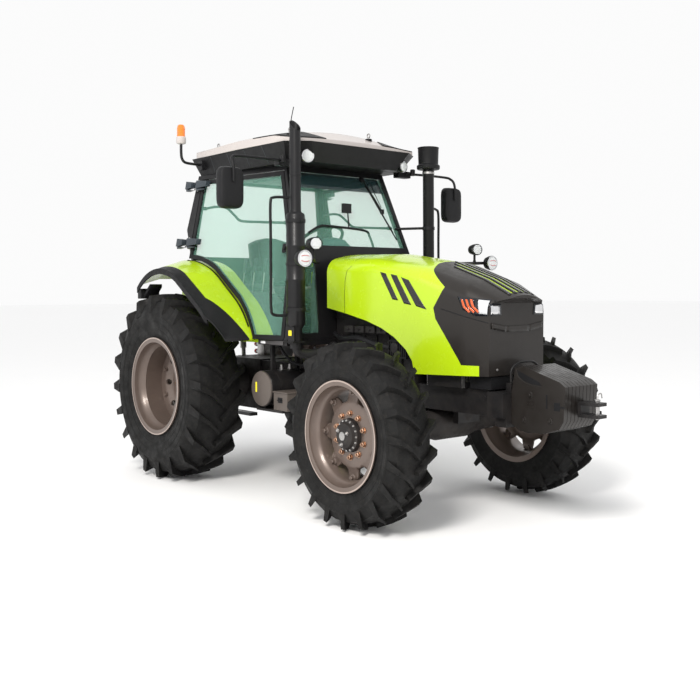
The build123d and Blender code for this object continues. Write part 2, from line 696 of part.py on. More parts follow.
with BuildPart() as skirt:
    for z, rear, front, tip, rear_half, front_half, tip_half in (
            (2648, 70, 1300, 1460, 650, 600, 430), (ROOF_FOOT - 1, 0, 1400, 1530, 700, 690, 520)):
        with BuildSketch(Plane.XY.offset(z)):
            with BuildLine():
                right = [(rear, -rear_half), (front, -front_half), (tip, -tip_half)]
                left = [(x, -y) for x, y in reversed(right)]
                Polyline(*[(REAR_X + x, y) for x, y in right + left], close=True)
            make_face()
    loft(ruled=True)
keep(skirt, "roof_skirt")

# ---------------------------------------------------------------- exhaust and air intake
STACK_X = 1572
STACK_Y = 706
MUFFLER_R = 72
PIPE_R = 42
with BuildPart() as exhaust:
    add(rod((STACK_X, -STACK_Y, 1350), (STACK_X, -STACK_Y, 2222), MUFFLER_R))
    add(rod((STACK_X, -STACK_Y, 2222), (STACK_X, -STACK_Y, 2936), PIPE_R))
    add(rod((STACK_X, -STACK_Y, 1160), (STACK_X, -STACK_Y, 1350), PIPE_R + 6))
    add(rod((STACK_X, -STACK_Y, 1190), (STACK_X + 60, -ENGINE_HALF - 14, 1190), PIPE_R - 6))
keep(exhaust, "exhaust_stack")

with BuildPart() as intake:
    add(rod((STACK_X, STACK_Y, 1360), (STACK_X, STACK_Y, 2668), 48))
    add(rod((STACK_X, STACK_Y, 2668), (STACK_X, STACK_Y, 2860), 100))
    add(rod((STACK_X, STACK_Y, 1400), (STACK_X + 60, ENGINE_HALF + 14, 1400), 40))
keep(intake, "air_intake")

# ---------------------------------------------------------------- mirrors, lamps and beacon
MIRROR = (1389, 1171, 2400)
with BuildPart() as mirror_piece:
    x, y, z = MIRROR
    add(box(x - 40, x + 40, -y - 125, -y + 125, z - 185, z + 185))
    add(tube([(1210, -500, 2630), (1300, -640, 2630), (x, -y, 2630), (x, -y, z + 184)], 11, 28))
keep_both(mirror_piece, "mirrors")

LAMP = (1986, 846, 1965)
SIGNAL = (2035, 981, 1853)
with BuildPart() as lamps:
    add(tube([(1480, -400, 1850), (1640, -520, 1850), (1985, -846, 1850), (1985, -846, 1925)], 13, 26))
    add(rod((LAMP[0] - 45, -LAMP[1], LAMP[2]), (LAMP[0] + 40, -LAMP[1], LAMP[2]), 50))
    add(rod((1985, -846, 1853), (SIGNAL[0], -SIGNAL[1] + 40, SIGNAL[2]), 10))
    add(rod((SIGNAL[0] - 25, -SIGNAL[1], SIGNAL[2]), (SIGNAL[0] + 35, -SIGNAL[1], SIGNAL[2]), 62))
keep_both(lamps, "front_lamps")

with BuildPart() as beacon:
    add(tube([(150, -694, 2735), (163, -900, 2735), (163, -900, 2907)], 12, 60))
    add(rod((163, -900, 2907), (163, -900, 2950), 42))
    add(rod((163, -900, 2950), (163, -900, 3066), 36))
keep(beacon, "beacon")

# ---------------------------------------------------------------- inside the cab
with BuildPart() as seat_base:
    add(box(250, 650, -200, 200, FLOOR_Z, 1560))
keep(seat_base, "seat_base")

with BuildPart() as seat_cushion:
    add(box(230, 720, -245, 245, 1561, 1670))
keep(seat_cushion, "seat_cushion")

with BuildPart() as seat_back:
    add(side_plate([(170, 1690), (290, 1690), (220, 2136), (130, 2136)], -230, 230))
keep(seat_back, "seat_back")

WHEEL_CENTRE = (960, 0, 2060)
with BuildPart() as steering_wheel:
    lean = Plane(origin=(REAR_X + WHEEL_CENTRE[0], 0, WHEEL_CENTRE[2]), z_dir=(-0.55, 0, 0.84))
    with Locations(lean):
        Torus(200, 14)
        Cylinder(38, 40)
        with PolarLocations(0, 3):
            Box(200, 24, 12, align=(Align.MIN, Align.CENTER, Align.CENTER))
    add(rod((960, 0, 2060), (1084, 0, 1871), 20))
keep(steering_wheel, "steering_wheel")

with BuildPart() as consoles:
    add(box(1120, 1380, -260, 260, FLOOR_Z, 1880))
    for side in (-1, 1):
        add(box(180, 900, side * 330, side * 560, FLOOR_Z, 1640))
keep(consoles, "consoles")

# ---------------------------------------------------------------- below the cab
with BuildPart() as side_tank:
    add(rod((900, -560, 890), (1420, -560, 890), 150))
keep(side_tank, "air_tank")

with BuildPart() as toolbox:
    add(box(1000, 1400, -840, -720, 760, 1020))
keep(toolbox, "toolbox")

with BuildPart() as steps:
    for z in (560, 820, 1060):
        add(box(1120, 1420, 620, 800, z, z + 30))
    for x in (1110, 1410):
        add(box(x, x + 12, 620, 800, 540, 1195))
keep(steps, "steps_left")

with BuildPart() as fuel_tank:
    add(box(860, 1390, 260, 600, 640, 1120))
keep(fuel_tank, "fuel_tank")

# ---------------------------------------------------------------- rear linkage
LINK_PIVOT = (-40, 230, 520)
LINK_END = (-LINK_REACH + 35, 410, 560)
with BuildPart() as link:
    start = (LINK_PIVOT[0], -LINK_PIVOT[1], LINK_PIVOT[2])
    end = (LINK_END[0], -LINK_END[1], LINK_END[2])
    add(rod(start, end, 24))
    with Locations(Location((REAR_X + LINK_END[0], -LINK_END[1], LINK_END[2]), (90, 0, 0))):
        Cylinder(35, 44)
        Cylinder(LINK_BORE_R, 60, mode=Mode.SUBTRACT)
keep_both(link, "lower_links")

with BuildPart() as drawbar:
    add(box(-620, -100, -40, 40, 440, 470))
    with Locations((REAR_X - 585, 0, 455)):
        Cylinder(16, 60, mode=Mode.SUBTRACT)
keep(drawbar, "drawbar")

with BuildPart() as pto:
    for radius, x0, x1 in ((PTO_JOURNAL_R, -259, -120), (PTO_R, -259 - PTO_STUB, -259)):
        with Locations(Location((REAR_X + (x0 + x1) / 2, 0, PTO_Z), (0, 90, 0))):
            Cylinder(radius, x1 - x0)
keep(pto, "pto_shaft")
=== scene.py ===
import json
import math

import bmesh
import bpy
from mathutils import Matrix, Vector
from mathutils.bvhtree import BVHTree


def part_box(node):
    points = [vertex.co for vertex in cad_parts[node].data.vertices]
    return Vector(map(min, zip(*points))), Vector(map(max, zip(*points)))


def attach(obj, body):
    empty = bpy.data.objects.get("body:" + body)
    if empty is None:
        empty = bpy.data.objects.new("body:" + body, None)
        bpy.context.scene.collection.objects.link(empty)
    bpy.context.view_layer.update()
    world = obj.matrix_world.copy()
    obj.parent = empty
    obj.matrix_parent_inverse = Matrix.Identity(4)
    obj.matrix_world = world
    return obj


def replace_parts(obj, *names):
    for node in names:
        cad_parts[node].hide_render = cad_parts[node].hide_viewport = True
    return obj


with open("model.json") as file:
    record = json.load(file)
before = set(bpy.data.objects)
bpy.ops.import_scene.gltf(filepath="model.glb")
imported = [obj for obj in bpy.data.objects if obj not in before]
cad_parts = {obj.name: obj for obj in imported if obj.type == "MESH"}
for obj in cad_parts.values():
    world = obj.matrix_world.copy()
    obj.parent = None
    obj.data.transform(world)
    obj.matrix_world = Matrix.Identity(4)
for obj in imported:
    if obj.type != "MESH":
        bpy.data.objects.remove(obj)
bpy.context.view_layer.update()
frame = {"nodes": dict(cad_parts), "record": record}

# ---------------------------------------------------------------- places read from the frame
PLACE = {joint["name"]: Vector(joint["pos_m"]) for joint in frame["record"]["behaviour"]["joints"]}
REAR_HUB = PLACE["rear_wheel_right_spin"]
FRONT_HUB = PLACE["front_wheel_right_spin"]
REAR_X = REAR_HUB.x                     # the rear axle; places in this file count forward from it
SIDES = {"right": -1, "left": 1}
UP, AHEAD, BACK, RIGHT = (0, 0, 1), (1, 0, 0), (-1, 0, 0), (0, -1, 0)


def at(x, y, z):
    """A point whose x counts forward from the rear axle."""
    return Vector((REAR_X + x, y, z))


# ---------------------------------------------------------------- materials
COAT_ROUGHNESS = 0.08


def shade(color, factor):
    """A colour made darker or paler by a factor."""
    return tuple(c * factor for c in color)


class Paint:
    """A node material: a Principled shader with procedural colour, roughness and bump."""

    def __init__(self, name, color, roughness, metallic=0.0, coat=0.0, alpha=1.0, specular=0.5):
        self.material = bpy.data.materials.new(name)
        self.material.use_nodes = True
        self.tree = self.material.node_tree
        self.shader = self.tree.nodes["Principled BSDF"]
        self.color = color
        sockets = {"Base Color": (*color, 1), "Roughness": roughness, "Metallic": metallic,
            "Coat Weight": coat, "Coat Roughness": COAT_ROUGHNESS, "Alpha": alpha,
            "Specular IOR Level": specular}
        for key, value in sockets.items():
            self.shader.inputs[key].default_value = value
        self.coord = self.node("ShaderNodeTexCoord").outputs["Object"]
        self.tint = None
        self.height = None

    def node(self, kind, sockets=None, **settings):
        """A new node with its settings and the values of its sockets."""
        made = self.tree.nodes.new(kind)
        for key, value in settings.items():
            setattr(made, key, value)
        for key, value in (sockets or {}).items():
            made.inputs[key].default_value = value
        return made

    def link(self, source, target):
        self.tree.links.new(source, target)

    def noise(self, scale, detail=4.0, rough=0.6, stretch=(1, 1, 1)):
        place = self.node("ShaderNodeMapping", {"Scale": stretch})
        self.link(self.coord, place.inputs["Vector"])
        made = self.node("ShaderNodeTexNoise", {"Scale": scale, "Detail": detail, "Roughness": rough})
        self.link(place.outputs["Vector"], made.inputs["Vector"])
        return made.outputs["Fac"]

    def ramp(self, source, low, high, start=0.35, end=0.65):
        """Spreads what lies between start and end of a source from low to high."""
        made = self.node("ShaderNodeMapRange", {"From Min": start, "From Max": end,
            "To Min": low, "To Max": high})
        self.link(source, made.inputs["Value"])
        return made.outputs["Result"]

    def mix_color(self, factor, other):
        """Mixes another colour into the base colour by a 0 to 1 factor."""
        made = self.node("ShaderNodeMix", data_type="RGBA")
        self.link(factor, made.inputs["Factor"])
        if self.tint is None:
            made.inputs["A"].default_value = (*self.color, 1)
        else:
            self.link(self.tint, made.inputs["A"])
        made.inputs["B"].default_value = (*other, 1)
        self.tint = made.outputs["Result"]
        self.link(self.tint, self.shader.inputs["Base Color"])
        return self

    def roughness(self, source, low, high):
        self.link(self.ramp(source, low, high), self.shader.inputs["Roughness"])
        return self

    def bump(self, source, distance, strength=1.0):
        made = self.node("ShaderNodeBump", {"Strength": strength, "Distance": distance})
        self.link(source, made.inputs["Height"])
        if self.height is not None:
            self.link(self.height, made.inputs["Normal"])
        self.height = made.outputs["Normal"]
        self.link(self.height, self.shader.inputs["Normal"])
        return self

    def dust(self, color, amount, top):
        """Dust that thins out with height, from the ground to a height."""
        split = self.node("ShaderNodeSeparateXYZ")
        self.link(self.coord, split.inputs["Vector"])
        fade = self.ramp(split.outputs["Z"], amount, 0.0, 0.0, top)
        grain = self.ramp(self.noise(9.0), 0.2, 1.0)
        product = self.node("ShaderNodeMath", operation="MULTIPLY")
        self.link(fade, product.inputs[0])
        self.link(grain, product.inputs[1])
        return self.mix_color(product.outputs[0], color)


def painted(name, color, roughness, metallic=0.0, coat=0.0, spread=0.1, dusty=0.0, specular=0.5):
    """Sprayed paint: slight colour drift, uneven gloss, orange peel and road dust."""
    paint = Paint(name, color, roughness, metallic, coat, specular=specular)
    paint.mix_color(paint.ramp(paint.noise(2.3), 0.0, 1.0), shade(color, 1 - spread))
    if dusty:
        paint.dust((0.13, 0.11, 0.095), dusty, 1.6)
    paint.roughness(paint.noise(14.0), roughness * 0.85, roughness * 1.2)
    paint.bump(paint.noise(420.0, 2.0), 0.0004, 0.35)
    return paint.material


def moulded(name, color, roughness, grain=900.0, depth=0.0006, dusty=0.0, specular=0.22):
    """Moulded plastic with a fine leather-like grain."""
    paint = Paint(name, color, roughness, specular=specular)
    paint.mix_color(paint.ramp(paint.noise(3.1), 0.0, 1.0), shade(color, 0.8))
    if dusty:
        paint.dust((0.1, 0.09, 0.08), dusty, 1.8)
    paint.roughness(paint.noise(18.0), roughness * 0.85, min(1.0, roughness * 1.15))
    paint.bump(paint.noise(grain, 1.0), depth, 0.5)
    return paint.material


def cast(name, color, roughness):
    """Painted casting: a pebbled surface with dusty hollows."""
    paint = Paint(name, color, roughness, specular=0.25)
    paint.mix_color(paint.ramp(paint.noise(5.0, 6.0), 0.0, 0.8), tuple(c * 1.7 + 0.004 for c in color))
    paint.dust((0.11, 0.09, 0.075), 0.35, 1.1)
    paint.roughness(paint.noise(22.0), roughness * 0.8, min(1.0, roughness * 1.25))
    paint.bump(paint.noise(160.0, 5.0), 0.0016, 0.6)
    return paint.material


def rubber(name):
    """Tyre rubber: near black, scuffed paler, with dust in patches."""
    paint = Paint(name, (0.006, 0.006, 0.006), 0.6, specular=0.2)
    paint.mix_color(paint.ramp(paint.noise(6.0, 8.0, 0.7), 0.0, 0.7, 0.45, 0.8), (0.016, 0.015, 0.014))
    paint.mix_color(paint.ramp(paint.noise(38.0, 6.0, 0.7), 0.0, 0.4, 0.5, 0.8), (0.036, 0.031, 0.026))
    paint.roughness(paint.noise(11.0), 0.48, 0.8)
    paint.bump(paint.noise(70.0, 6.0, 0.65), 0.002, 0.5)
    return paint.material


def glazing(name, color, alpha):
    """Tinted safety glass, glossy and slightly wavy."""
    paint = Paint(name, color, 0.03, alpha=alpha)
    paint.mix_color(paint.ramp(paint.noise(1.2), 0.0, 0.5), shade(color, 0.93))
    paint.bump(paint.noise(3.0, 1.0), 0.0008, 0.15)
    return paint.material


def lens(name, color, alpha, rib=0.0):
    """A clear or coloured lamp lens with fine ribs."""
    paint = Paint(name, color, 0.08, coat=0.6, alpha=alpha)
    paint.mix_color(paint.ramp(paint.noise(60.0, 2.0), 0.0, 0.4), shade(color, 0.75))
    if rib:
        wave = paint.node("ShaderNodeTexWave", {"Scale": rib})
        paint.link(paint.coord, wave.inputs["Vector"])
        paint.bump(wave.outputs["Fac"], 0.002, 0.6)
    return paint.material


def metal(name, color, roughness):
    """Bare or plated metal with fine drawn lines."""
    paint = Paint(name, color, roughness, metallic=1.0)
    paint.mix_color(paint.ramp(paint.noise(12.0), 0.0, 0.6), shade(color, 0.7))
    paint.roughness(paint.noise(30.0, 3.0, 0.6, (1, 1, 12)), roughness * 0.7, roughness * 1.5)
    paint.bump(paint.noise(200.0, 3.0, 0.6, (1, 1, 8)), 0.0004, 0.4)
    return paint.material


def cloth(name, color):
    """Woven seat cloth: crossed threads and a soft sheen."""
    paint = Paint(name, color, 0.92, specular=0.2)
    paint.shader.inputs["Sheen Weight"].default_value = 0.35
    paint.mix_color(paint.ramp(paint.noise(7.0), 0.0, 0.8), shade(color, 1.8))
    for stretch in ((1, 0.02, 0.02), (0.02, 1, 1)):
        threads = paint.noise(900.0, 1.0, 0.5, stretch)
        paint.bump(threads, 0.001, 0.6)
    return paint.material


LIME = painted("lime_paint", (0.43, 0.62, 0.008), 0.24, coat=0.5, spread=0.06)
GRAPHITE = painted("graphite_paint", (0.018, 0.015, 0.013), 0.4, metallic=0.2, coat=0.15, specular=0.35)
INSERT = painted("insert_metallic", (0.022, 0.021, 0.022), 0.26, metallic=0.5, coat=0.5)
BLACK = painted("chassis_black", (0.008, 0.008, 0.009), 0.4, coat=0.06, dusty=0.2, specular=0.25)
CASTING = cast("black_casting", (0.011, 0.01, 0.01), 0.52)
RIM = painted("rim_paint", (0.15, 0.112, 0.094), 0.36, metallic=0.35, coat=0.2, dusty=0.25)
TAUPE = painted("taupe_paint", (0.105, 0.086, 0.074), 0.45, metallic=0.2, dusty=0.2)
ALLOY = painted("sill_alloy", (0.085, 0.08, 0.08), 0.36, metallic=0.6)
YELLOW = painted("yellow_patch", (0.85, 0.72, 0.02), 0.5)
WHITE = painted("white_reflector", (0.85, 0.85, 0.86), 0.3, coat=0.5)
BLUEGREY = painted("blue_grey_patch", (0.2, 0.24, 0.3), 0.4)
RUBBER = rubber("tyre_rubber")
PLASTIC = moulded("black_plastic", (0.009, 0.009, 0.01), 0.46)
FLARE = moulded("flare_rubber", (0.008, 0.008, 0.009), 0.56, dusty=0.15)
ROOF = painted("roof_moulding", (0.5, 0.46, 0.44), 0.34, coat=0.25, spread=0.05)
GREY = moulded("grey_plastic", (0.05, 0.056, 0.062), 0.5)
TEAL = moulded("teal_plastic", (0.035, 0.085, 0.095), 0.42)
SLATE = moulded("slate_plastic", (0.034, 0.044, 0.054), 0.4, specular=0.4)
SCREEN = moulded("display_glass", (0.006, 0.008, 0.012), 0.12, specular=0.5)
GLASS = glazing("mint_glass", (0.28, 0.62, 0.48), 0.15)
TINT = glazing("sun_band", (0.02, 0.05, 0.055), 0.72)
AMBER = lens("amber_lens", (0.95, 0.22, 0.01), 0.92, 60.0)
RED = lens("red_lens", (0.62, 0.015, 0.012), 0.95, 80.0)
ORANGE = lens("orange_reflector", (0.8, 0.13, 0.03), 1.0, 120.0)
CLEAR = lens("clear_lens", (0.8, 0.82, 0.84), 0.85, 90.0)
STEEL = metal("bare_steel", (0.46, 0.45, 0.44), 0.36)
CHROME = metal("chrome", (0.8, 0.8, 0.81), 0.1)
COPPER = metal("plated_nuts", (0.42, 0.27, 0.19), 0.36)
CLOTH = cloth("seat_cloth", (0.014, 0.015, 0.017))

NODE_PAINT = [(LIME, "hood fenders"), (GRAPHITE, "hood_nose front_weights"), (FLARE, "fender_flares"),
    (ROOF, "roof_cap"), (TAUPE, "toolbox"), (GREY, "consoles"), (STEEL, "tie_rod pto_shaft"),
    (GLASS, "windscreen rear_window door_glass_right door_glass_left"),
    (RUBBER, "rear_tyre_right rear_tyre_left front_tyre_right front_tyre_left"),
    (RIM, "rear_rim_right rear_rim_left front_rim_right front_rim_left"),
    (CASTING, "rear_axle_housing transmission_housing engine_block front_axle_beam"),
    (CASTING, "front_hub_right front_hub_left knuckle_right knuckle_left"),
    (PLASTIC, "roof_skirt air_intake mirrors front_lamps beacon fuel_tank lower_grille"),
    (PLASTIC, "steering_wheel door_frame_right door_frame_left"),
    (BLACK, "cab_frame cab_platform exhaust_stack seat_base air_tank steps_left drawbar"),
    (BLACK, "front_frame radiator tow_clevis lower_links"), ]
WELD_GAP = 0.00005
NODE_CREASE = 32                        # degrees; a sharper edge is shaded as an edge


def dress(node, material):
    """Gives a CAD node its material, welded seams and smooth shading up to its creases."""
    obj = frame["nodes"][node]
    obj.data.materials.clear()
    obj.data.materials.append(material)
    for polygon in obj.data.polygons:
        polygon.use_smooth = True
    weld = obj.modifiers.new("weld", "WELD")
    weld.merge_threshold = WELD_GAP
    split = obj.modifiers.new("crease", "EDGE_SPLIT")
    split.split_angle = math.radians(NODE_CREASE)


for material, nodes in NODE_PAINT:
    for node in nodes.split():
        dress(node, material)

# ---------------------------------------------------------------- building small pieces
class Shape:
    """The mesh of one piece under construction; x of every point counts from the rear axle."""

    def __init__(self):
        self.mesh = bmesh.new()

    def face(self, verts):
        """One face; a face that exists already is left out."""
        try:
            self.mesh.faces.new(verts)
        except ValueError:
            pass

    def box(self, x0, x1, y0, y1, z0, z1):
        corners = [self.mesh.verts.new(at(x, y, z)) for z in (z0, z1) for x,
            y in ((x0, y0), (x1, y0), (x1, y1), (x0, y1))]
        for ring in ((3, 2, 1, 0), (4, 5, 6, 7), (0, 1, 5, 4), (1, 2, 6, 5), (2, 3, 7, 6), (3, 0, 4, 7)):
            self.face([corners[k] for k in ring])
        return self

    def prism(self, points, push):
        """A flat outline of points, pushed along a vector."""
        low = [self.mesh.verts.new(at(*p)) for p in points]
        high = [self.mesh.verts.new(at(*p) + Vector(push)) for p in points]
        self.face(low[::-1])
        self.face(high)
        return self.tube([low, high])

    def tube(self, loops, ends=False):
        """Faces between closed loops of equally many points, and over both ends if asked."""
        for lower, upper in zip(loops, loops[1:]):
            for k in range(len(lower)):
                nxt = (k + 1) % len(lower)
                self.face([lower[k], lower[nxt], upper[nxt], upper[k]])
        if ends:
            self.face(loops[0][::-1])
            self.face(loops[-1])
        return self

    def oval(self, centre, across, up, segments):
        """The points of an ellipse that stands square to x, with its half width and half height."""
        angles = [2 * math.pi * k / segments for k in range(segments)]
        return [self.mesh.verts.new(at(centre[0], centre[1] + across * math.cos(a), centre[2]
            + up * math.sin(a))) for a in angles]

    def lathe(self, outline, start, axis, segments=28, caps=True):
        """A solid of revolution from an (along, radius) outline, about an axis through start."""
        origin = at(*start)
        turn = Vector(axis).normalized().to_track_quat("Z", "Y")
        rings = []
        for along, radius in outline:
            ring = []
            for k in range(segments if radius > 1e-6 else 1):
                angle = 2 * math.pi * k / segments
                local = Vector((radius * math.cos(angle), radius * math.sin(angle), along))
                ring.append(self.mesh.verts.new(origin + turn @ local))
            rings.append(ring)
        for lower, upper in zip(rings, rings[1:]):
            for k in range(segments):
                nxt = (k + 1) % segments
                quad = [lower[k % len(lower)], lower[nxt % len(lower)], upper[nxt % len(upper)],
                    upper[k % len(upper)]]
                self.face(list(dict.fromkeys(quad)))
        for ring, flip in ((rings[0], True), (rings[-1], False)):
            if caps and len(ring) > 2:
                self.face(ring[::-1] if flip else ring)
        return self

    def bar(self, start, end, radius, segments=16):
        """A round bar between two points."""
        axis = Vector(end) - Vector(start)
        return self.lathe([(0, radius), (axis.length, radius)], start, axis, segments)

    def bolt(self, place, axis, size):
        """A hexagon head on its washer."""
        self.lathe([(0, size * 0.72), (size * 0.12, size * 0.72)], place, axis, 16)
        return self.lathe([(size * 0.1, size * 0.56), (size * 0.62, size * 0.56),
            (size * 0.7, size * 0.46)], place, axis, 6)

    def bolts(self, centre, radius, count, out, size, phase=0.0, stud=None):
        """A ring of bolts round an axle, with studs of (length, radius) if given."""
        for place in ring_points(centre, radius, count, phase):
            self.bolt(place, out, size)
            if stud:
                self.bar(place, (place[0], place[1] + out[1] * stud[0], place[2]), stud[1], 10)
        return self

    def hose(self, points, radius, steps=8, segments=10):
        """A round hose along a smooth curve through points."""
        route = smooth_route([Vector(p) for p in points], steps)
        rings = []
        side = None
        for k, point in enumerate(route):
            ahead = (route[min(k + 1, len(route) - 1)] - route[max(k - 1, 0)]).normalized()
            if side is None:
                side = ahead.orthogonal().normalized()
            side = (side - ahead * side.dot(ahead)).normalized()
            up = ahead.cross(side)
            rings.append([self.mesh.verts.new(at(*(point + side * radius * math.cos(a)
                + up * radius * math.sin(a)))) for a in [2 * math.pi * j / segments
                for j in range(segments)]])
        return self.tube(rings, ends=True)

    def mirrored(self):
        """Adds the other side's copy, mirrored about the middle."""
        made = bmesh.ops.duplicate(self.mesh, geom=self.mesh.verts[:] + self.mesh.faces[:])["geom"]
        verts = [g for g in made if isinstance(g, bmesh.types.BMVert)]
        for vert in verts:
            vert.co.y = -vert.co.y
        bmesh.ops.reverse_faces(self.mesh, faces=[g for g in made if isinstance(g, bmesh.types.BMFace)])
        return self

    def piece(self, name, material, body="root", bevel=0.0, split=35, smooth=True):
        """Finishes the piece and lets it ride on a body."""
        bmesh.ops.recalc_face_normals(self.mesh, faces=self.mesh.faces[:])
        data = bpy.data.meshes.new(name)
        self.mesh.to_mesh(data)
        self.mesh.free()
        obj = bpy.data.objects.new(name, data)
        bpy.context.scene.collection.objects.link(obj)
        data.materials.append(material)
        for polygon in data.polygons:
            polygon.use_smooth = smooth
        if bevel:
            soft = obj.modifiers.new("soft_edges", "BEVEL")
            soft.width = bevel
            soft.segments = 3
            soft.limit_method = "ANGLE"
            soft.angle_limit = math.radians(40)
        crease = obj.modifiers.new("crease", "EDGE_SPLIT")
        crease.split_angle = math.radians(split)
        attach(obj, body)
        return obj


def smooth_route(points, steps):
    """Points on a smooth curve that passes through the given ones."""
    ends = [points[0] * 2 - points[1]] + points + [points[-1] * 2 - points[-2]]
    route = []
    for a, b, c, d in zip(ends, ends[1:], ends[2:], ends[3:]):
        for k in range(steps):
            t = k / steps
            route.append(0.5 * (2 * b + (c - a) * t + (2 * a - 5 * b + 4 * c - d) * t ** 2
                + (3 * b - a - 3 * c + d) * t ** 3))
    return route + [points[-1]]


def surface_of(*nodes):
    """A search tree of CAD nodes' faces, at rest."""
    verts = []
    faces = []
    for node in nodes:
        data = frame["nodes"][node].data
        first = len(verts)
        verts += [v.co.copy() for v in data.vertices]
        faces += [[first + k for k in p.vertices] for p in data.polygons]
    return BVHTree.FromPolygons(verts, faces)


AIMS = {"side": Vector((0, 1, 0)), "top": Vector((0, 0, -1)), "front": Vector((-1, 0, 0))}
CAST_BACK = 1.2                         # how far before a patch's corners its casting starts
PATCH_LIFT = 0.0008
PATCH_THICKNESS = 0.0005


def side_on(points, y=-0.4):
    """Points (x, z) of a side view, at one y."""
    return [(x, y, z) for x, z in points]


def top_on(points, z):
    """Points (x, y) of a top view, at one z."""
    return [(x, y, z) for x, y in points]


def front_on(points, x):
    """Points (y, z) of a front view, at one x."""
    return [(x, y, z) for y, z in points]


def draped(name, tree, corners, aim, material, body="root", steps=(12, 8), lift=PATCH_LIFT, mirror=False):
    """A thin patch with four (x, y, z) corners, laid on a surface by casting along an aim.
    Corners run round the patch; the first two make its first edge."""
    a, b, c, d = [at(*p) for p in corners]
    shape = Shape()
    rows = []
    for i in range(steps[0] + 1):
        row = []
        for j in range(steps[1] + 1):
            u = i / steps[0]
            v = j / steps[1]
            start = (a * (1 - u) + b * u) * (1 - v) + (d * (1 - u) + c * u) * v
            hit, normal = tree.ray_cast(start - AIMS[aim] * CAST_BACK, AIMS[aim])[:2]
            if hit is not None and normal.dot(AIMS[aim]) > 0:
                normal = -normal
            row.append(shape.mesh.verts.new(hit + normal * lift) if hit is not None else None)
        rows.append(row)
    for i in range(steps[0]):
        for j in range(steps[1]):
            quad = [rows[i][j], rows[i + 1][j], rows[i + 1][j + 1], rows[i][j + 1]]
            if None not in quad:
                shape.face(quad)
    if mirror:
        shape.mirrored()
    obj = shape.piece(name, material, body, split=60)
    shell = obj.modifiers.new("thickness", "SOLIDIFY")
    shell.thickness = PATCH_THICKNESS
    shell.offset = 0
    return obj


def ring_points(centre, radius, count, phase=0.0):
    """Points on a circle round an axle, seen from the side."""
    for k in range(count):
        angle = 2 * math.pi * (k + phase) / count
        yield centre[0] + radius * math.cos(angle), centre[1], centre[2] + radius * math.sin(angle)


# ---------------------------------------------------------------- pieces: wheels
def on_axle(hub, sign, outward=0.0, x=0.0, up=0.0):
    """A point by a wheel's axle, a distance outward of the wheel's middle."""
    return hub.x - REAR_X + x, sign * (abs(hub.y) + outward), hub.z + up


def rear_wheel_fittings(side, sign):
    """Hub nuts on studs, hub cap, rim bolts and valve of a rear wheel."""
    out = (0, sign, 0)
    body = f"rear_wheel_{side}"
    nuts = Shape().bolts(on_axle(REAR_HUB, sign, -0.092), 0.126, 10, out, 0.036, stud=(0.034, 0.009))
    nuts.piece(f"rear_nuts_{side}", COPPER, body, split=30)
    outline = [(0, 0.058), (0.006, 0.056), (0.01, 0.046), (0.012, 0.02), (0.016, 0.014), (0.016, 0.0)]
    cap = Shape().lathe(outline, on_axle(REAR_HUB, sign, -0.053), out, 32)
    cap.bolts(on_axle(REAR_HUB, sign, -0.069), 0.064, 6, out, 0.01, 0.5)
    cap.piece(f"rear_cap_{side}", CASTING, body)
    clamps = Shape().bolts(on_axle(REAR_HUB, sign, -0.05), 0.3, 8, out, 0.03, 0.5)
    clamps.piece(f"rear_rim_bolts_{side}", RIM, body)
    route = [on_axle(REAR_HUB, sign, *place) for place in ((-0.02, 0, 0.345),
        (0.02, 0, 0.35), (0.05, 0, 0.34))]
    Shape().hose(route, 0.006, 4).piece(f"rear_valve_{side}", PLASTIC, body)


def front_wheel_fittings(side, sign):
    """Planetary hub's bolts and cap, spider nuts, foot bolts and valve of a front wheel."""
    out = (0, sign, 0)
    body = f"front_wheel_{side}"
    hub = Shape().bolts(on_axle(FRONT_HUB, sign, 0.0925), 0.1015, 16, out, 0.012)
    hub.bolts(on_axle(FRONT_HUB, sign, 0.132), 0.058, 3, out, 0.018, 0.2)
    outline = [(0, 0.03), (0.005, 0.029), (0.006, 0.022), (0.006, 0.0)]
    hub.lathe(outline, on_axle(FRONT_HUB, sign, 0.132), out)
    hub.piece(f"hub_bolts_{side}", STEEL, body, split=30)
    nuts = Shape().bolts(on_axle(FRONT_HUB, sign, 0.06), 0.15, 10, out, 0.032, 0.5, (0.03, 0.008))
    nuts.piece(f"spider_nuts_{side}", COPPER, body, split=30)
    feet = Shape().bolts(on_axle(FRONT_HUB, sign, 0.046), 0.294, 8, out, 0.028)
    feet.piece(f"spider_bolts_{side}", RIM, body, split=30)
    route = [on_axle(FRONT_HUB, sign, *place) for place in ((0.03, 0.1, 0.27), (0.06, 0.1, 0.285),
        (0.09, 0.11, 0.275))]
    Shape().hose(route, 0.006, 4).piece(f"front_valve_{side}", PLASTIC, body)


# a paler copy of the rim paint: painted highlight for the rims' outer flanges
RIM_FLANGE_HIGHLIGHT = painted("painted_flange_highlight", (0.4, 0.32, 0.28), 0.34, metallic=0.2, coat=0.3)
# the rim's barrel, front: columns are distance outboard of the wheel's middle and radius
FRONT_BARREL = [(0.165, 0.381), (0.153, 0.379), (0.148, 0.351), (0.124, 0.345), (0.11, 0.332),
    (0.086, 0.316), (-0.08, 0.316), (-0.118, 0.343), (-0.148, 0.351), (-0.153, 0.379), (-0.165, 0.381),
    (-0.158, 0.341), (-0.122, 0.331), (-0.091, 0.305), (0.084, 0.305), (0.1, 0.318), (0.112, 0.331),
    (0.13, 0.334), (0.14, 0.341), (0.158, 0.343), (0.163, 0.368), (0.165, 0.381)]
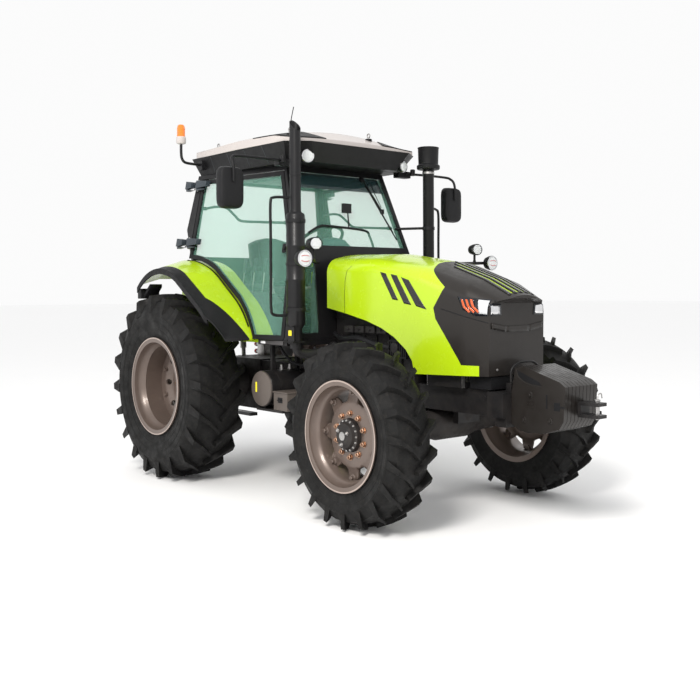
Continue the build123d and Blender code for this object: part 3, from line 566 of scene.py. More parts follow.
# the disc, the same columns: each row stops at the scalloped edge, which the last one reaches
FRONT_DISH = [(0.06, 0.116), (0.06, 0.212), (0.052, 0.228), (0.04, 0.252), (0.036, 0.276), (0.034, 1.0)]
SCALLOPS = 8
SQUARENESS = 3.2
DISC_EDGE = 0.268                       # middle radius of the scalloped edge
SCALLOP_DEPTH = 0.036                   # how far the edge swings either way
DISC_THICKNESS = 0.014


def front_rim(side, sign):
    """The front rim: a stepped barrel and a scalloped, dished disc with eight feet."""
    out = (0, sign, 0)
    centre = on_axle(FRONT_HUB, sign)
    shape = Shape()
    shape.lathe(FRONT_BARREL, centre, out, 96, caps=False)
    rings = []
    for along, radius in FRONT_DISH:
        ring = []
        for k in range(128):
            angle = 2 * math.pi * k / 128
            swing = math.tanh(SQUARENESS * math.cos(SCALLOPS * angle)) / math.tanh(SQUARENESS)
            reach = min(radius, DISC_EDGE + SCALLOP_DEPTH * swing)
            ring.append(shape.mesh.verts.new(at(centre[0] + reach * math.cos(angle), centre[1]
                + sign * along, centre[2] + reach * math.sin(angle))))
        rings.append(ring)
    inward = Vector((0, sign * DISC_THICKNESS, 0))
    back = [[shape.mesh.verts.new(v.co - inward) for v in ring] for ring in rings]
    for loops in (rings, back, [rings[-1], back[-1]], [rings[0], back[0]]):
        shape.tube(loops)
    for place in ring_points((centre[0], centre[1] + sign * 0.03, centre[2]), 0.294, SCALLOPS):
        shape.lathe([(-0.02, 0.026), (0.012, 0.026), (0.016, 0.02)], place, out, 20)
    rim = shape.piece(f"front_rim_{side}_dressed", RIM, f"front_wheel_{side}", split=40)
    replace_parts(rim, f"front_rim_{side}")


def flange_highlights(side, sign):
    """Paler bands on the rims' outer flanges: painted highlight where light catches the flange."""
    for which, hub, half, flange in (("front", FRONT_HUB, 0.165, 0.381), ("rear", REAR_HUB, 0.216, 0.422)):
        outline = [(half + 0.0002, flange - 0.001), (half + 0.0022, flange - 0.004),
            (half + 0.0004, flange - 0.011)]
        band = Shape().lathe(outline, on_axle(hub, sign), (0, sign, 0), 96, caps=False)
        band.piece(f"{which}_rim_highlight_band_{side}", RIM_FLANGE_HIGHLIGHT, f"{which}_wheel_{side}", split=80)


OUTSIDE = 1.4                           # further out than any tyre


def tyre_rings(side, sign, which, hub, radii):
    """Fine moulded ribs round a tyre's outer sidewall, laid on it by casting."""
    tree = surface_of(f"{which}_tyre_{side}")
    shape = Shape()
    for radius in radii:
        start = at(hub.x - REAR_X, sign * OUTSIDE, hub.z) + Vector((radius, 0, 0))
        hit = tree.ray_cast(start, Vector((0, -sign, 0)))[0]
        if hit is not None:
            reach = abs(hit.y) - abs(hub.y)
            rib = [(reach - 0.001, radius - 0.005), (reach + 0.0025, radius - 0.001),
                (reach + 0.0025, radius + 0.001), (reach - 0.001, radius + 0.005)]
            shape.lathe(rib, on_axle(hub, sign), (0, sign, 0), 128, caps=False)
    shape.piece(f"{which}_tyre_ribs_{side}", RUBBER, f"{which}_wheel_{side}", split=80)


for side, sign in SIDES.items():
    rear_wheel_fittings(side, sign)
    front_rim(side, sign)
    front_wheel_fittings(side, sign)
    flange_highlights(side, sign)
    tyre_rings(side, sign, "front", FRONT_HUB, (0.392, 0.404, 0.452, 0.5, 0.508))
    tyre_rings(side, sign, "rear", REAR_HUB, (0.434, 0.448, 0.5, 0.56, 0.57, 0.62))

# ---------------------------------------------------------------- pieces: hood
HOOD = surface_of("hood")
NOSE = surface_of("hood_nose")
# three slanted stripes: columns are (x, z) of the rear top, front top, front foot and rear foot
STRIPES = [((2.187, 1.761), (2.25, 1.749), (2.385, 1.55), (2.323, 1.557)),
    ((2.301, 1.744), (2.369, 1.732), (2.521, 1.517), (2.445, 1.528)),
    ((2.413, 1.72), (2.495, 1.697), (2.67, 1.486), (2.57, 1.51))]
for k, stripe in enumerate(STRIPES):
    draped(f"hood_stripe_{k}", HOOD, side_on(stripe, -0.38), "side", INSERT, "hood", mirror=True)
# the seam between the hood's rear and middle panels
SEAM = [(1.767, 1.452), (1.767, 1.594), (1.775, 1.7), (1.8, 1.78), (1.844, 1.814)]
SEAM_WIDTH = 0.004
for k, ((x0, z0), (x1, z1)) in enumerate(zip(SEAM, SEAM[1:])):
    corners = side_on([(x0, z0), (x1, z1), (x1 + SEAM_WIDTH, z1), (x0 + SEAM_WIDTH, z0)], -0.38)
    draped(f"hood_seam_{k}", HOOD, corners, "side", PLASTIC, "hood", steps=(6, 1), mirror=True)
OVER_HOOD = 1.9                         # patches on the hood's top are cast from above this height
draped("hood_seam_top", HOOD, top_on([(1.844, -0.34), (1.844, 0.34), (1.848, 0.34), (1.848, -0.34)],
    OVER_HOOD), "top", PLASTIC, "hood", steps=(24, 1))
# five ridges along the nose's top, with lime lines between them
RIDGE_STEP = 0.058


def nose_band(name, y, x0, x1, half0, half1, material, lift):
    """A band along the nose's top, half0 to half1 wide either way, that starts later towards the sides."""
    start = x0 + 0.9 * abs(y)
    corners = top_on([(start, y - half0), (x1, y - half1), (x1, y + half1), (start, y + half0)], OVER_HOOD)
    return draped(name, NOSE, corners, "top", material, "hood", steps=(24, 2), lift=lift)


for k in range(5):
    y = (k - 2) * RIDGE_STEP
    ridge = nose_band(f"nose_ridge_{k}", y, 2.6, 3.235, 0.009, 0.013, INSERT, 0.0025)
    ridge.modifiers["thickness"].thickness = 0.006
    if k < 4:
        nose_band(f"nose_line_{k}", y + RIDGE_STEP / 2, 2.62, 3.225, 0.004, 0.006, LIME, PATCH_LIFT)
# headlamps: a dark housing over the corner, three reflector strips and a clear lens
HOUSING = [[(2.949, 1.578), (3.083, 1.566), (3.083, 1.447), (2.995, 1.487)],
    [(3.083, 1.566), (3.186, 1.556), (3.186, 1.447), (3.083, 1.447)]]
for k, corners in enumerate(HOUSING):
    draped(f"lamp_housing_{k}", NOSE, side_on(corners), "side", SCREEN, "hood", steps=(10, 6),
        lift=0.003, mirror=True)
BEFORE_NOSE = 3.4                       # patches on the nose's face are cast from before this place
FRONT_HOUSING = front_on([(-0.285, 1.448), (-0.165, 1.45), (-0.172, 1.528), (-0.285, 1.53)], BEFORE_NOSE)
draped("lamp_housing_front", NOSE, FRONT_HOUSING, "front", SCREEN, "hood", steps=(8, 6),
    lift=0.003, mirror=True)
LENS_LIFT = 0.0045
for k in range(3):
    x = 2.992 + 0.034 * k
    strip = [(x - 0.012, 1.56), (x + 0.004, 1.558), (x + 0.022, 1.512), (x + 0.004, 1.508)]
    foot = [(x + 0.004, 1.508), (x + 0.022, 1.512), (x + 0.062, 1.476), (x + 0.05, 1.466)]
    for j, corners in enumerate((strip, foot)):
        draped(f"lamp_strip_{k}_{j}", NOSE, side_on(corners), "side", ORANGE, "hood", steps=(4, 5),
            lift=LENS_LIFT, mirror=True)
draped("lamp_clear_side", NOSE, side_on([(3.105, 1.556), (3.18, 1.548), (3.18, 1.458), (3.118, 1.462)]),
    "side", CLEAR, "hood", steps=(6, 6), lift=LENS_LIFT, mirror=True)
FRONT_LENS = front_on([(-0.272, 1.458), (-0.182, 1.46), (-0.188, 1.52), (-0.272, 1.522)], BEFORE_NOSE)
draped("lamp_clear_front", NOSE, FRONT_LENS, "front", CHROME, "hood", steps=(4, 4),
    lift=LENS_LIFT, mirror=True)
# a raised bar across the nose's face, bent up at its ends
NOSE_BAR = [(-0.262, 1.36), (-0.12, 1.336), (0.12, 1.336), (0.262, 1.36)]
BAR_HEIGHT = 0.04
for k, ((y0, z0), (y1, z1)) in enumerate(zip(NOSE_BAR, NOSE_BAR[1:])):
    corners = front_on([(y0, z0), (y1, z1), (y1, z1 + BAR_HEIGHT), (y0, z0 + BAR_HEIGHT)], BEFORE_NOSE)
    bar = draped(f"nose_bar_{k}", NOSE, corners, "front", GRAPHITE, "hood", steps=(8, 2), lift=0.004)
    bar.modifiers["thickness"].thickness = 0.008
# a dark line laid along the crease that runs back along the nose's side from the lamp: painted shade in the
# crease
draped("nose_crease_shade", NOSE, side_on([(2.8, 1.49), (3.186, 1.396), (3.186, 1.402), (2.8, 1.496)]), "side",
    PLASTIC, "hood", steps=(16, 1), mirror=True)


def hood_fittings():
    """Bolt heads on the nose's flat face, the brow's seal and the hoop before the frame."""
    bolts = Shape()
    for y, z in ((-0.2, 1.3), (0.2, 1.3), (-0.2, 1.08), (0.2, 1.08)):
        bolts.lathe([(0, 0.009), (0.002, 0.009), (0.004, 0.005), (0.004, 0.0)], (3.188, y, z), AHEAD, 16)
    bolts.piece("nose_bolts", STEEL, "hood")
    band = Shape().box(3.192, 3.215, -0.245, 0.245, 1.545, 1.552)
    band.piece("brow_seal", PLASTIC, "hood", bevel=0.002)
    hoop = Shape()
    hoop.hose([(3.262, -0.14, 0.99), (3.266, -0.142, 1.08), (3.268, -0.08, 1.126), (3.268, 0.0, 1.132),
        (3.268, 0.08, 1.126), (3.266, 0.142, 1.08), (3.262, 0.14, 0.99)], 0.009, 8, 12)
    hoop.box(3.24, 3.284, -0.165, -0.115, 0.936, 0.994)
    hoop.box(3.24, 3.284, 0.115, 0.165, 0.936, 0.994)
    hoop.piece("front_hoop", BLACK)


hood_fittings()


# ---------------------------------------------------------------- pieces: cab and roof
def side_y(x, z, out=0.0):
    """Distance of the cab's leaning side from the middle at x and z, plus a step out."""
    return 0.8 - 0.145 * (x - 0.14) - 0.189 * (z - 1.925) + out * 1.028


def screen_x(z, out=0.0):
    """Where the windscreen's outer face stands at a height, plus a step out."""
    return 1.417 - 0.3655 * (z - 1.95) + out


def door_hinges(side, sign):
    """Two wedge-shaped hinge covers: a block on the post and a leaf that swings with the door."""
    for k, low in enumerate((2.02, 2.53)):
        for name, body, x0, x1, deep in (("post", "root", -0.02, 0.058, 0.052),
                ("leaf", f"door_{side}", 0.112, 0.25, 0.046)):
            shape = Shape()
            for z0, z1, grow in ((low, low + 0.07, 0.0), (low - 0.022, low, 0.01)):
                corners = [(x0 + grow, z0), (x1 - grow, z0 + 0.01), (x1, z1 - 0.012), (x0, z1)]
                near = [(x, sign * side_y(x, z, 0.002), z) for x, z in corners]
                shape.prism(near, (0, sign * (deep - grow), 0))
            shape.piece(f"hinge_{name}_{k}_{side}", SLATE, body, bevel=0.008)
        pin = Shape().bar((0.1, sign * side_y(0.1, low, 0.012), low - 0.026),
            (0.1, sign * side_y(0.1, low + 0.08, 0.012), low + 0.074), 0.01)
        for z in (low - 0.01, low + 0.05):
            pin.box(0.054, 0.1, sign * side_y(0.1, z, 0.004), sign * side_y(0.1, z, 0.02), z, z + 0.014)
        pin.piece(f"hinge_pin_{k}_{side}", STEEL)


def door_fittings(side, sign):
    """Latch and pull bar of a door."""
    body = f"door_{side}"
    latch = Shape()
    latch.prism([(1.3, sign * side_y(1.3, 1.93, 0.001), 1.925),
        (1.358, sign * side_y(1.358, 1.93, 0.001), 1.925), (1.346, sign * side_y(1.346, 2.0, 0.001), 2.0),
        (1.3, sign * side_y(1.3, 2.0, 0.001), 2.0)], (0, sign * 0.018, 0))
    latch.lathe([(0, 0.016), (0.01, 0.016), (0.012, 0.012)], (1.33, sign * side_y(1.33, 1.962, 0.018),
        1.962), (0, sign, 0.19), 20)
    latch.piece(f"door_latch_{side}", PLASTIC, body, bevel=0.004)
    inset = -0.055
    route = [(x, sign * side_y(x, z, inset), z) for x, z in ((0.165, 2.352), (0.3, 2.36), (0.442, 2.34),
        (0.56, 2.272), (0.659, 2.218), (0.9, 2.196), (1.23, 2.172))]
    bar = Shape().hose(route, 0.011, 8, 12)
    for x, z in ((0.16, 2.352), (1.236, 2.172)):
        bar.bar((x, sign * side_y(x, z, -0.06), z), (x, sign * side_y(x, z, -0.024), z), 0.016)
    bar.piece(f"door_pull_{side}", BLACK, body)


def sill_fittings(side, sign):
    """Alloy strip with its reflector, and the ridged seal between fender and door."""
    strip = Shape().box(1.125, 1.455, sign * 0.7402, sign * 0.748, 1.2, 1.232)
    strip.piece(f"sill_strip_{side}", ALLOY, bevel=0.003)
    spot = Shape().box(1.15, 1.215, sign * 0.748, sign * 0.7505, 1.206, 1.226)
    spot.piece(f"sill_reflector_{side}", WHITE, bevel=0.002)
    route = [(x, sign * side_y(x, z, 0.012), z - 0.014) for x, z in ((0.12, 1.908), (0.3, 1.88), (0.5, 1.8),
        (0.68, 1.678), (0.85, 1.553), (0.95, 1.46), (1.04, 1.35))]
    points = smooth_route([Vector(p) for p in route], 24)
    seal = Shape()
    for here, nxt in zip(points[::2], points[1::2]):
        seal.lathe([(0, 0.0045), (0.0015, 0.0075), ((nxt - here).length * 0.9, 0.0075),
            ((nxt - here).length, 0.0045)], here, nxt - here, 10)
    seal.piece(f"door_seal_{side}", FLARE)


for side, sign in SIDES.items():
    door_hinges(side, sign)
    door_fittings(side, sign)
    sill_fittings(side, sign)

SCREEN_TREE = surface_of("windscreen")
SUN_BAND = front_on([(-0.535, 2.47), (0.535, 2.47), (0.498, 2.594), (-0.498, 2.594)], 2.0)
draped("screen_band", SCREEN_TREE, SUN_BAND, "front", TINT, steps=(20, 4))


def wiper():
    """The windscreen's wiper on its pivot, with a link and a blade."""
    arm = Shape()
    arm.lathe([(0, 0.026), (0.016, 0.024), (0.022, 0.012)], (screen_x(2.58), 0.27, 2.58), (1, 0, 0.37), 20)
    arm.bar((screen_x(2.58, 0.022), 0.27, 2.58), (screen_x(2.3, 0.03), 0.4, 2.3), 0.006)
    arm.bar((screen_x(2.54, 0.022), 0.33, 2.56), (screen_x(2.34, 0.026), 0.402, 2.34), 0.003)
    arm.box(screen_x(2.3, 0.01), screen_x(2.3, 0.036), 0.388, 0.412, 2.285, 2.325)
    arm.piece("wiper_arm", PLASTIC)
    blade = Shape()
    blade.prism([(screen_x(2.52, 0.004), 0.296, 2.52), (screen_x(2.06, 0.004), 0.5, 2.06),
        (screen_x(2.06, 0.014), 0.5, 2.06), (screen_x(2.52, 0.014), 0.296, 2.52)], (0, 0.007, 0))
    blade.bar((screen_x(2.46, 0.018), 0.325, 2.46), (screen_x(2.12, 0.018), 0.475, 2.12), 0.004, 8)
    blade.piece("wiper_blade", FLARE)


wiper()
ROOF_TREE = surface_of("roof_cap")
SKIRT = surface_of("roof_skirt")
OVER_ROOF = 3.2
for k, sign in enumerate((-1, 1)):
    panel = [(0.98, sign * 0.7), (1.436, sign * 0.64), (1.436, sign * 0.3), (1.2, sign * 0.43)]
    corner = draped(f"roof_corner_{k}", ROOF_TREE, top_on(panel, OVER_ROOF), "top", PLASTIC,
        steps=(16, 10), lift=0.004)
    corner.modifiers["thickness"].thickness = 0.008
    patch = [(0.06, sign * 0.69), (0.2, sign * 0.692), (0.16, sign * 0.6), (0.02, sign * 0.59)]
    draped(f"roof_patch_{k}", ROOF_TREE, top_on(patch, OVER_ROOF), "top", BLUEGREY, steps=(6, 6))
for k, x in enumerate((0.3, 0.56, 0.82, 1.08)):
    corners = side_on([(x, 2.66), (x + 0.006, 2.66), (x + 0.006, 2.79), (x, 2.79)], -0.8)
    draped(f"skirt_seam_{k}", SKIRT, corners, "side", GREY, steps=(1, 6), mirror=True)


def roof_fittings():
    """Round lamps under the roof's corners, and eye bolts on their pads."""
    shell = Shape()
    glass = Shape()
    shine = Shape()
    for sign in (-1, 1):
        for place, axis in (((1.452, sign * 0.505, 2.69), Vector((1, sign * 0.25, -0.05))),
                ((0.03, sign * 0.5, 2.7), Vector((-1, 0, -0.08)))):
            forward = axis.normalized()
            shell.lathe([(-0.045, 0.03), (-0.03, 0.046), (0.012, 0.053), (0.02, 0.052)], place, axis, 32)
            front = Vector(place) + forward * 0.0202
            shine.lathe([(0, 0.0525), (0.004, 0.0515), (0.004, 0.046), (0.0, 0.045)], front, axis, 32, False)
            glass.lathe([(0, 0.046), (0.004, 0.04), (0.007, 0.024), (0.008, 0.0)], front, axis, 32)
            shell.bar(place, (place[0] - forward.x * 0.05, place[1], place[2] + 0.06), 0.01)
    shell.piece("roof_lamp_shells", PLASTIC)
    shine.piece("roof_lamp_rings", CHROME)
    glass.piece("roof_lamp_glass", CLEAR)
    eyes = Shape()
    pads = Shape()
    for x, y in ((1.3, 0.26), (1.3, -0.56), (0.12, 0.5), (0.12, -0.5)):
        hit = ROOF_TREE.ray_cast(at(x, y, 3.3), Vector((0, 0, -1)))[0]
        pads.lathe([(-0.004, 0.03), (0.01, 0.03), (0.014, 0.024)], (x, y, hit.z), UP, 24)
        turns = [math.radians(d) for d in range(-90, 271, 30)]
        eye = [(x + 0.017 * math.cos(a), y, hit.z + 0.04 + 0.017 * math.sin(a)) for a in turns]
        eyes.hose(eye, 0.005, 3, 8)
        eyes.bar((x, y, hit.z + 0.01), (x, y, hit.z + 0.026), 0.007)
    eyes.piece("roof_eye_bolts", STEEL)
    pads.piece("roof_eye_pads", PLASTIC)


roof_fittings()


# ---------------------------------------------------------------- pieces: stacks, mirrors, lamps
STACK = (1.572, 0.706)


def exhaust():
    """Exhaust stack: muffler with end cones and seams, slanted mouth and elbow, and the aerial."""
    x, y = STACK[0], -STACK[1]
    pipe = Shape()
    pipe.lathe([(1.18, 0.048), (1.33, 0.048), (1.35, 0.06), (1.372, 0.072), (1.7, 0.072), (1.702, 0.0735),
        (1.712, 0.0735), (1.714, 0.072), (1.96, 0.072), (1.962, 0.0735), (1.972, 0.0735), (1.974, 0.072),
        (2.2, 0.072), (2.216, 0.066), (2.228, 0.046), (2.25, 0.043), (2.5, 0.043), (2.502, 0.046),
        (2.52, 0.046), (2.522, 0.043), (2.85, 0.043)], (x, y, 0), UP, 40, caps=False)
    low = []
    high = []
    inner = []
    for k in range(40):
        angle = 2 * math.pi * k / 40
        dx, dy = 0.043 * math.cos(angle), 0.043 * math.sin(angle)
        tip = 2.893 - dx
        low.append(pipe.mesh.verts.new(at(x + dx, y + dy, 2.848)))
        high.append(pipe.mesh.verts.new(at(x + dx, y + dy, tip)))
        inner.append(pipe.mesh.verts.new(at(x + dx * 0.88, y + dy * 0.88, tip)))
    deep = [pipe.mesh.verts.new(v.co - Vector((0, 0, 0.12))) for v in inner]
    pipe.tube([low, high, inner, deep])
    pipe.face(deep)
    pipe.hose([(x, y, 1.2), (x + 0.004, y + 0.03, 1.15), (x + 0.03, y + 0.12, 1.13),
        (x + 0.06, y + 0.27, 1.16), (x + 0.06, y + 0.33, 1.19)], 0.04, 6, 20)
    obj = pipe.piece("exhaust_dressed", BLACK, split=40)
    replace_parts(obj, "exhaust_stack")
    aerial = Shape().hose([(x - 0.075, y, 2.56), (x - 0.074, y, 2.7), (x - 0.066, y, 2.84),
        (x - 0.05, y, 2.94), (x - 0.03, y + 0.01, 3.04)], 0.0035, 6, 8)
    for k in range(9):
        aerial.lathe([(0, 0.0), (0.004, 0.007), (0.012, 0.007), (0.016, 0.0)],
            (x - 0.074, y, 2.575 + 0.024 * k), UP, 10)
    aerial.piece("stack_aerial", PLASTIC)


def stack_brackets(side, sign):
    """Clamps and arms from a stack to the cab, the grab rail, and the foot plate with its patch."""
    x, y = STACK[0], sign * STACK[1]
    radius = 0.074 if sign < 0 else 0.05
    clamp = Shape()
    for z in (1.48, 1.83, 2.16):
        clamp.lathe([(-0.014, radius), (-0.014, radius + 0.004), (0.014, radius + 0.004), (0.014, radius)],
            (x, y, z), UP, 40, caps=False)
        post = side_y(1.43, z, -0.02)
        clamp.bar((x, y - sign * radius * 0.9, z), (screen_x(z, -0.01), sign * (post - 0.02), z), 0.011)
        clamp.bolt((x + radius + 0.002, y, z), AHEAD, 0.014)
    rail_x, rail_y = 1.505, sign * 0.89
    rail = [(rail_x, rail_y - sign * inset, z) for inset, z in ((0.03, 2.336), (0, 2.29), (0, 2.05),
        (0, 1.75), (0, 1.5), (0.03, 1.44))]
    ends = [(x - 0.03, sign * 0.745, z) for z in (2.34, 1.436)]
    clamp.hose([ends[0], *rail, ends[1]], 0.011, 8, 12)
    foot = [(x - 0.055, 1.345), (x + 0.055, 1.345), (x + 0.055, 1.23), (x - 0.02, 1.215)]
    clamp.prism(side_on(foot, y + sign * 0.052), (0, sign * 0.006, 0))
    shelf = [(1.4, sign * 0.66), (x + 0.06, sign * 0.66), (x + 0.06, sign * 0.78), (1.4, sign * 0.735)]
    clamp.prism(top_on(shelf, 1.236), (0, 0, -0.012))
    clamp.piece(f"stack_brackets_{side}", BLACK)
    patch = Shape().box(x - 0.018, x + 0.022, y + sign * 0.0582, y + sign * 0.059, 1.28, 1.32)
    patch.piece(f"stack_patch_{side}", YELLOW)


def intake():
    """Air intake: pipe, silver clamp, lip ring and the pre-cleaner's bowl."""
    x, y = STACK
    pipe = Shape()
    pipe.lathe([(1.37, 0.048), (2.618, 0.048), (2.622, 0.05), (2.664, 0.05), (2.668, 0.094), (2.676, 0.1),
        (2.7, 0.1), (2.706, 0.094), (2.712, 0.086), (2.846, 0.09), (2.854, 0.094), (2.858, 0.09),
        (2.86, 0.06), (2.86, 0.0)], (x, y, 0), UP, 48)
    pipe.hose([(x, y, 1.4), (x + 0.002, y - 0.06, 1.372), (x + 0.03, y - 0.16, 1.38),
        (x + 0.06, y - 0.33, 1.4)], 0.038, 6, 20)
    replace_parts(pipe.piece("intake_dressed", PLASTIC, split=40), "air_intake")
    clamp = Shape().lathe([(2.628, 0.0502), (2.628, 0.0525), (2.646, 0.0525), (2.646, 0.0502)], (x, y, 0),
        UP, 40, caps=False)
    clamp.bolt((x + 0.052, y, 2.637), AHEAD, 0.014)
    clamp.piece("intake_clamp", STEEL)


def mirrors():
    """Mirrors: rounded shells with a glass on the rear side, on bent arms from the roof."""
    shell = Shape()
    x, y, z = 1.389, -1.171, 2.4
    rows = []
    for depth, size in ((-0.04, 0.9), (-0.036, 0.97), (-0.024, 1.0), (0.01, 0.985), (0.03, 0.93),
            (0.038, 0.8), (0.04, 0.55)):
        ring = []
        for k in range(48):
            angle = 2 * math.pi * k / 48
            c, q = math.cos(angle), math.sin(angle)
            dy = 0.104 * size * math.copysign(abs(c) ** 0.45, c)
            dz = 0.158 * size * math.copysign(abs(q) ** 0.3, q)
            ring.append(shell.mesh.verts.new(at(x + depth, y + dy, z + dz)))
        rows.append(ring)
    shell.tube(rows, ends=True)
    shell.hose([(1.3, -0.56, 2.64), (1.34, -0.64, 2.645), (1.389, -0.8, 2.645), (1.389, -1.09, 2.645),
        (1.395, -1.155, 2.632), (1.418, -1.171, 2.6), (1.434, -1.171, 2.54),
        (1.434, -1.171, 2.44)], 0.011, 6, 12)
    shell.prism(side_on([(1.345, 2.5), (1.349, 2.5), (1.349, 2.3), (1.345, 2.3)], -1.1), (0, -0.002, 0))
    shell.box(1.28, 1.352, -0.7, -0.56, 2.612, 2.668)
    shell.lathe([(0, 0.022), (0.05, 0.022), (0.056, 0.016)], (1.389, -0.69, 2.63), UP, 20)
    shell.mirrored()
    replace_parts(shell.piece("mirrors_dressed", PLASTIC, bevel=0.003), "mirrors")
    pane = [(y + a * 0.082, z + b * 0.128) for a, b in ((-1, -1), (1, -1), (1, 1), (-1, 1))]
    glass = Shape().prism(front_on(pane, x - 0.0402), (-0.001, 0, 0)).mirrored()
    glass.piece("mirror_glass", CHROME)


# a lamp's shell, ring and lens: columns are distance forward and share of the lamp's full size
LAMP_SHELL = [(-0.042, 0.45), (-0.03, 0.8), (0.0, 0.96), (0.024, 1.0), (0.03, 1.0)]
LAMP_RING = [(0.03, 0.98), (0.036, 0.97), (0.036, 0.86), (0.03, 0.84)]
LAMP_LENS = [(0.0305, 0.86), (0.034, 0.8), (0.037, 0.45), (0.038, 0.02)]


def front_lamps():
    """Work and signal lamps on a bent bar, both sides."""
    frame_piece = Shape()
    ring = Shape()
    clear = Shape()
    red = Shape()
    work = (1.986, -0.846, 1.965)
    signal = (2.035, -0.981, 1.853)
    frame_piece.hose([(1.48, -0.42, 1.85), (1.56, -0.52, 1.85), (1.76, -0.68, 1.85), (1.985, -0.846, 1.85),
        (2.0, -0.9, 1.852), (2.005, -0.945, 1.853)], 0.013, 6, 14)
    frame_piece.bar((1.985, -0.846, 1.85), (1.985, -0.846, 1.925), 0.01)
    frame_piece.bolt((1.985, -0.846, 1.862), UP, 0.022)
    for k, (place, wide, tall) in enumerate(((work, 0.06, 0.048), (signal, 0.062, 0.062))):
        for piece, rows in ((frame_piece, LAMP_SHELL), (ring if k else frame_piece, LAMP_RING),
                (clear, LAMP_LENS)):
            piece.tube([piece.oval((place[0] + along, place[1], place[2]), wide * size, tall * size, 36)
                for along, size in rows])
    for dz in (-0.022, 0.022):
        arc = [(signal[0] + 0.038, signal[1] + y, signal[2] + dz * (1 - 240 * y * y))
            for y in (-0.034, -0.017, 0.0, 0.017, 0.034)]
        red.hose(arc, 0.0022, 4, 6)
    for row in range(-2, 3):
        for col in range(-2, 3):
            if abs(row) + abs(col) < 4:
                clear.lathe([(0, 0.0078), (0.003, 0.006), (0.004, 0.0)],
                    (work[0] + 0.036, work[1] + 0.018 * col, work[2] + 0.016 * row), AHEAD, 10)
    for piece in (frame_piece, ring, clear, red):
        piece.mirrored()
    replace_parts(frame_piece.piece("front_lamps_dressed", PLASTIC), "front_lamps")
    ring.piece("signal_rings", CHROME)
    clear.piece("front_lamp_glass", CLEAR)
    red.piece("signal_strips", RED)


def beacon():
    """Beacon: bent arm, pale base and a ribbed amber dome."""
    arm = Shape().hose([(0.15, -0.694, 2.735), (0.158, -0.78, 2.735), (0.162, -0.862, 2.742),
        (0.163, -0.892, 2.772), (0.163, -0.9, 2.82), (0.163, -0.9, 2.906)], 0.012, 6, 14)
    arm.box(0.118, 0.19, -0.712, -0.672, 2.69, 2.765)
    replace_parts(arm.piece("beacon_arm", BLACK), "beacon")
    base = Shape().lathe([(2.894, 0.02), (2.9, 0.038), (2.908, 0.042), (2.952, 0.042), (2.956, 0.039),
        (2.96, 0.036)], (0.163, -0.9, 0), UP, 36)
    base.piece("beacon_base", ROOF)
    dome = Shape().lathe([(2.96, 0.036), (2.968, 0.036), (2.97, 0.0345), (3.02, 0.034), (3.022, 0.0355),
        (3.03, 0.0355), (3.032, 0.034), (3.05, 0.031), (3.062, 0.022), (3.0659, 0.0)],
        (0.163, -0.9, 0), UP, 36)
    dome.piece("beacon_dome", AMBER)


exhaust()
for side, sign in SIDES.items():
    stack_brackets(side, sign)
intake()
mirrors()
front_lamps()
beacon()


# ---------------------------------------------------------------- pieces: inside the cab
def cushion_base(name, sections):
    """A closed pad through sections: y, first and last x, lowest and highest z, and how far the
    lower and the upper edge lean in x."""
    shape = Shape()
    loops = []
    for y, x0, x1, z0, z1, lean in sections:
        loops.append([shape.mesh.verts.new(at(x, y, z)) for x, z in ((x0 + lean[0], z0), (x1 + lean[0], z0),
            (x1 + lean[1], z1), (x0 + lean[1], z1))])
    return shape.tube(loops, ends=True).piece(name, CLOTH)


PAD_VOXEL = 0.006
PAD_PRESSURE = 4
PAD_FRAMES = 20


def inflate(obj, cap):
    """Remeshes a pad, swells it with a cloth simulation and caps how far each point may move."""
    scene = bpy.context.scene
    remesh = obj.modifiers.new("voxels", "REMESH")
    remesh.mode = "VOXEL"
    remesh.voxel_size = PAD_VOXEL
    depsgraph = bpy.context.evaluated_depsgraph_get()
    data = bpy.data.meshes.new_from_object(obj.evaluated_get(depsgraph))
    obj.modifiers.clear()
    obj.data = data
    start = [v.co.copy() for v in data.vertices]
    cloth_sim = obj.modifiers.new("swell", "CLOTH")
    cloth_sim.settings.use_pressure = True
    cloth_sim.settings.uniform_pressure_force = PAD_PRESSURE
    cloth_sim.settings.effector_weights.gravity = 0
    cloth_sim.settings.quality = 4
    for number in range(1, PAD_FRAMES + 1):
        scene.frame_set(number)
    depsgraph = bpy.context.evaluated_depsgraph_get()
    moved = [v.co.copy() for v in obj.evaluated_get(depsgraph).data.vertices]
    scene.frame_set(1)
    obj.modifiers.clear()
    for vert, old, new in zip(data.vertices, start, moved):
        step = new - old
        vert.co = old + (step if step.length <= cap else step.normalized() * cap)


def sew(obj, lines, across, facing, depth=0.007, width=0.007):
    """Sinks sewn channels into the side of a pad that faces a direction."""
    data = obj.data
    for vert in data.vertices:
        if vert.normal.dot(facing) > 0.25:
            here = vert.co.dot(across)
            sink = sum(math.exp(-((here - line) / width) ** 2) for line in lines)
            vert.co -= facing * depth * min(1.0, sink)
    for polygon in data.polygons:
        polygon.use_smooth = True
    data.materials.clear()
    data.materials.append(CLOTH)
    fine = obj.modifiers.new("fine", "SUBSURF")
    fine.levels = 1
    fine.render_levels = 1


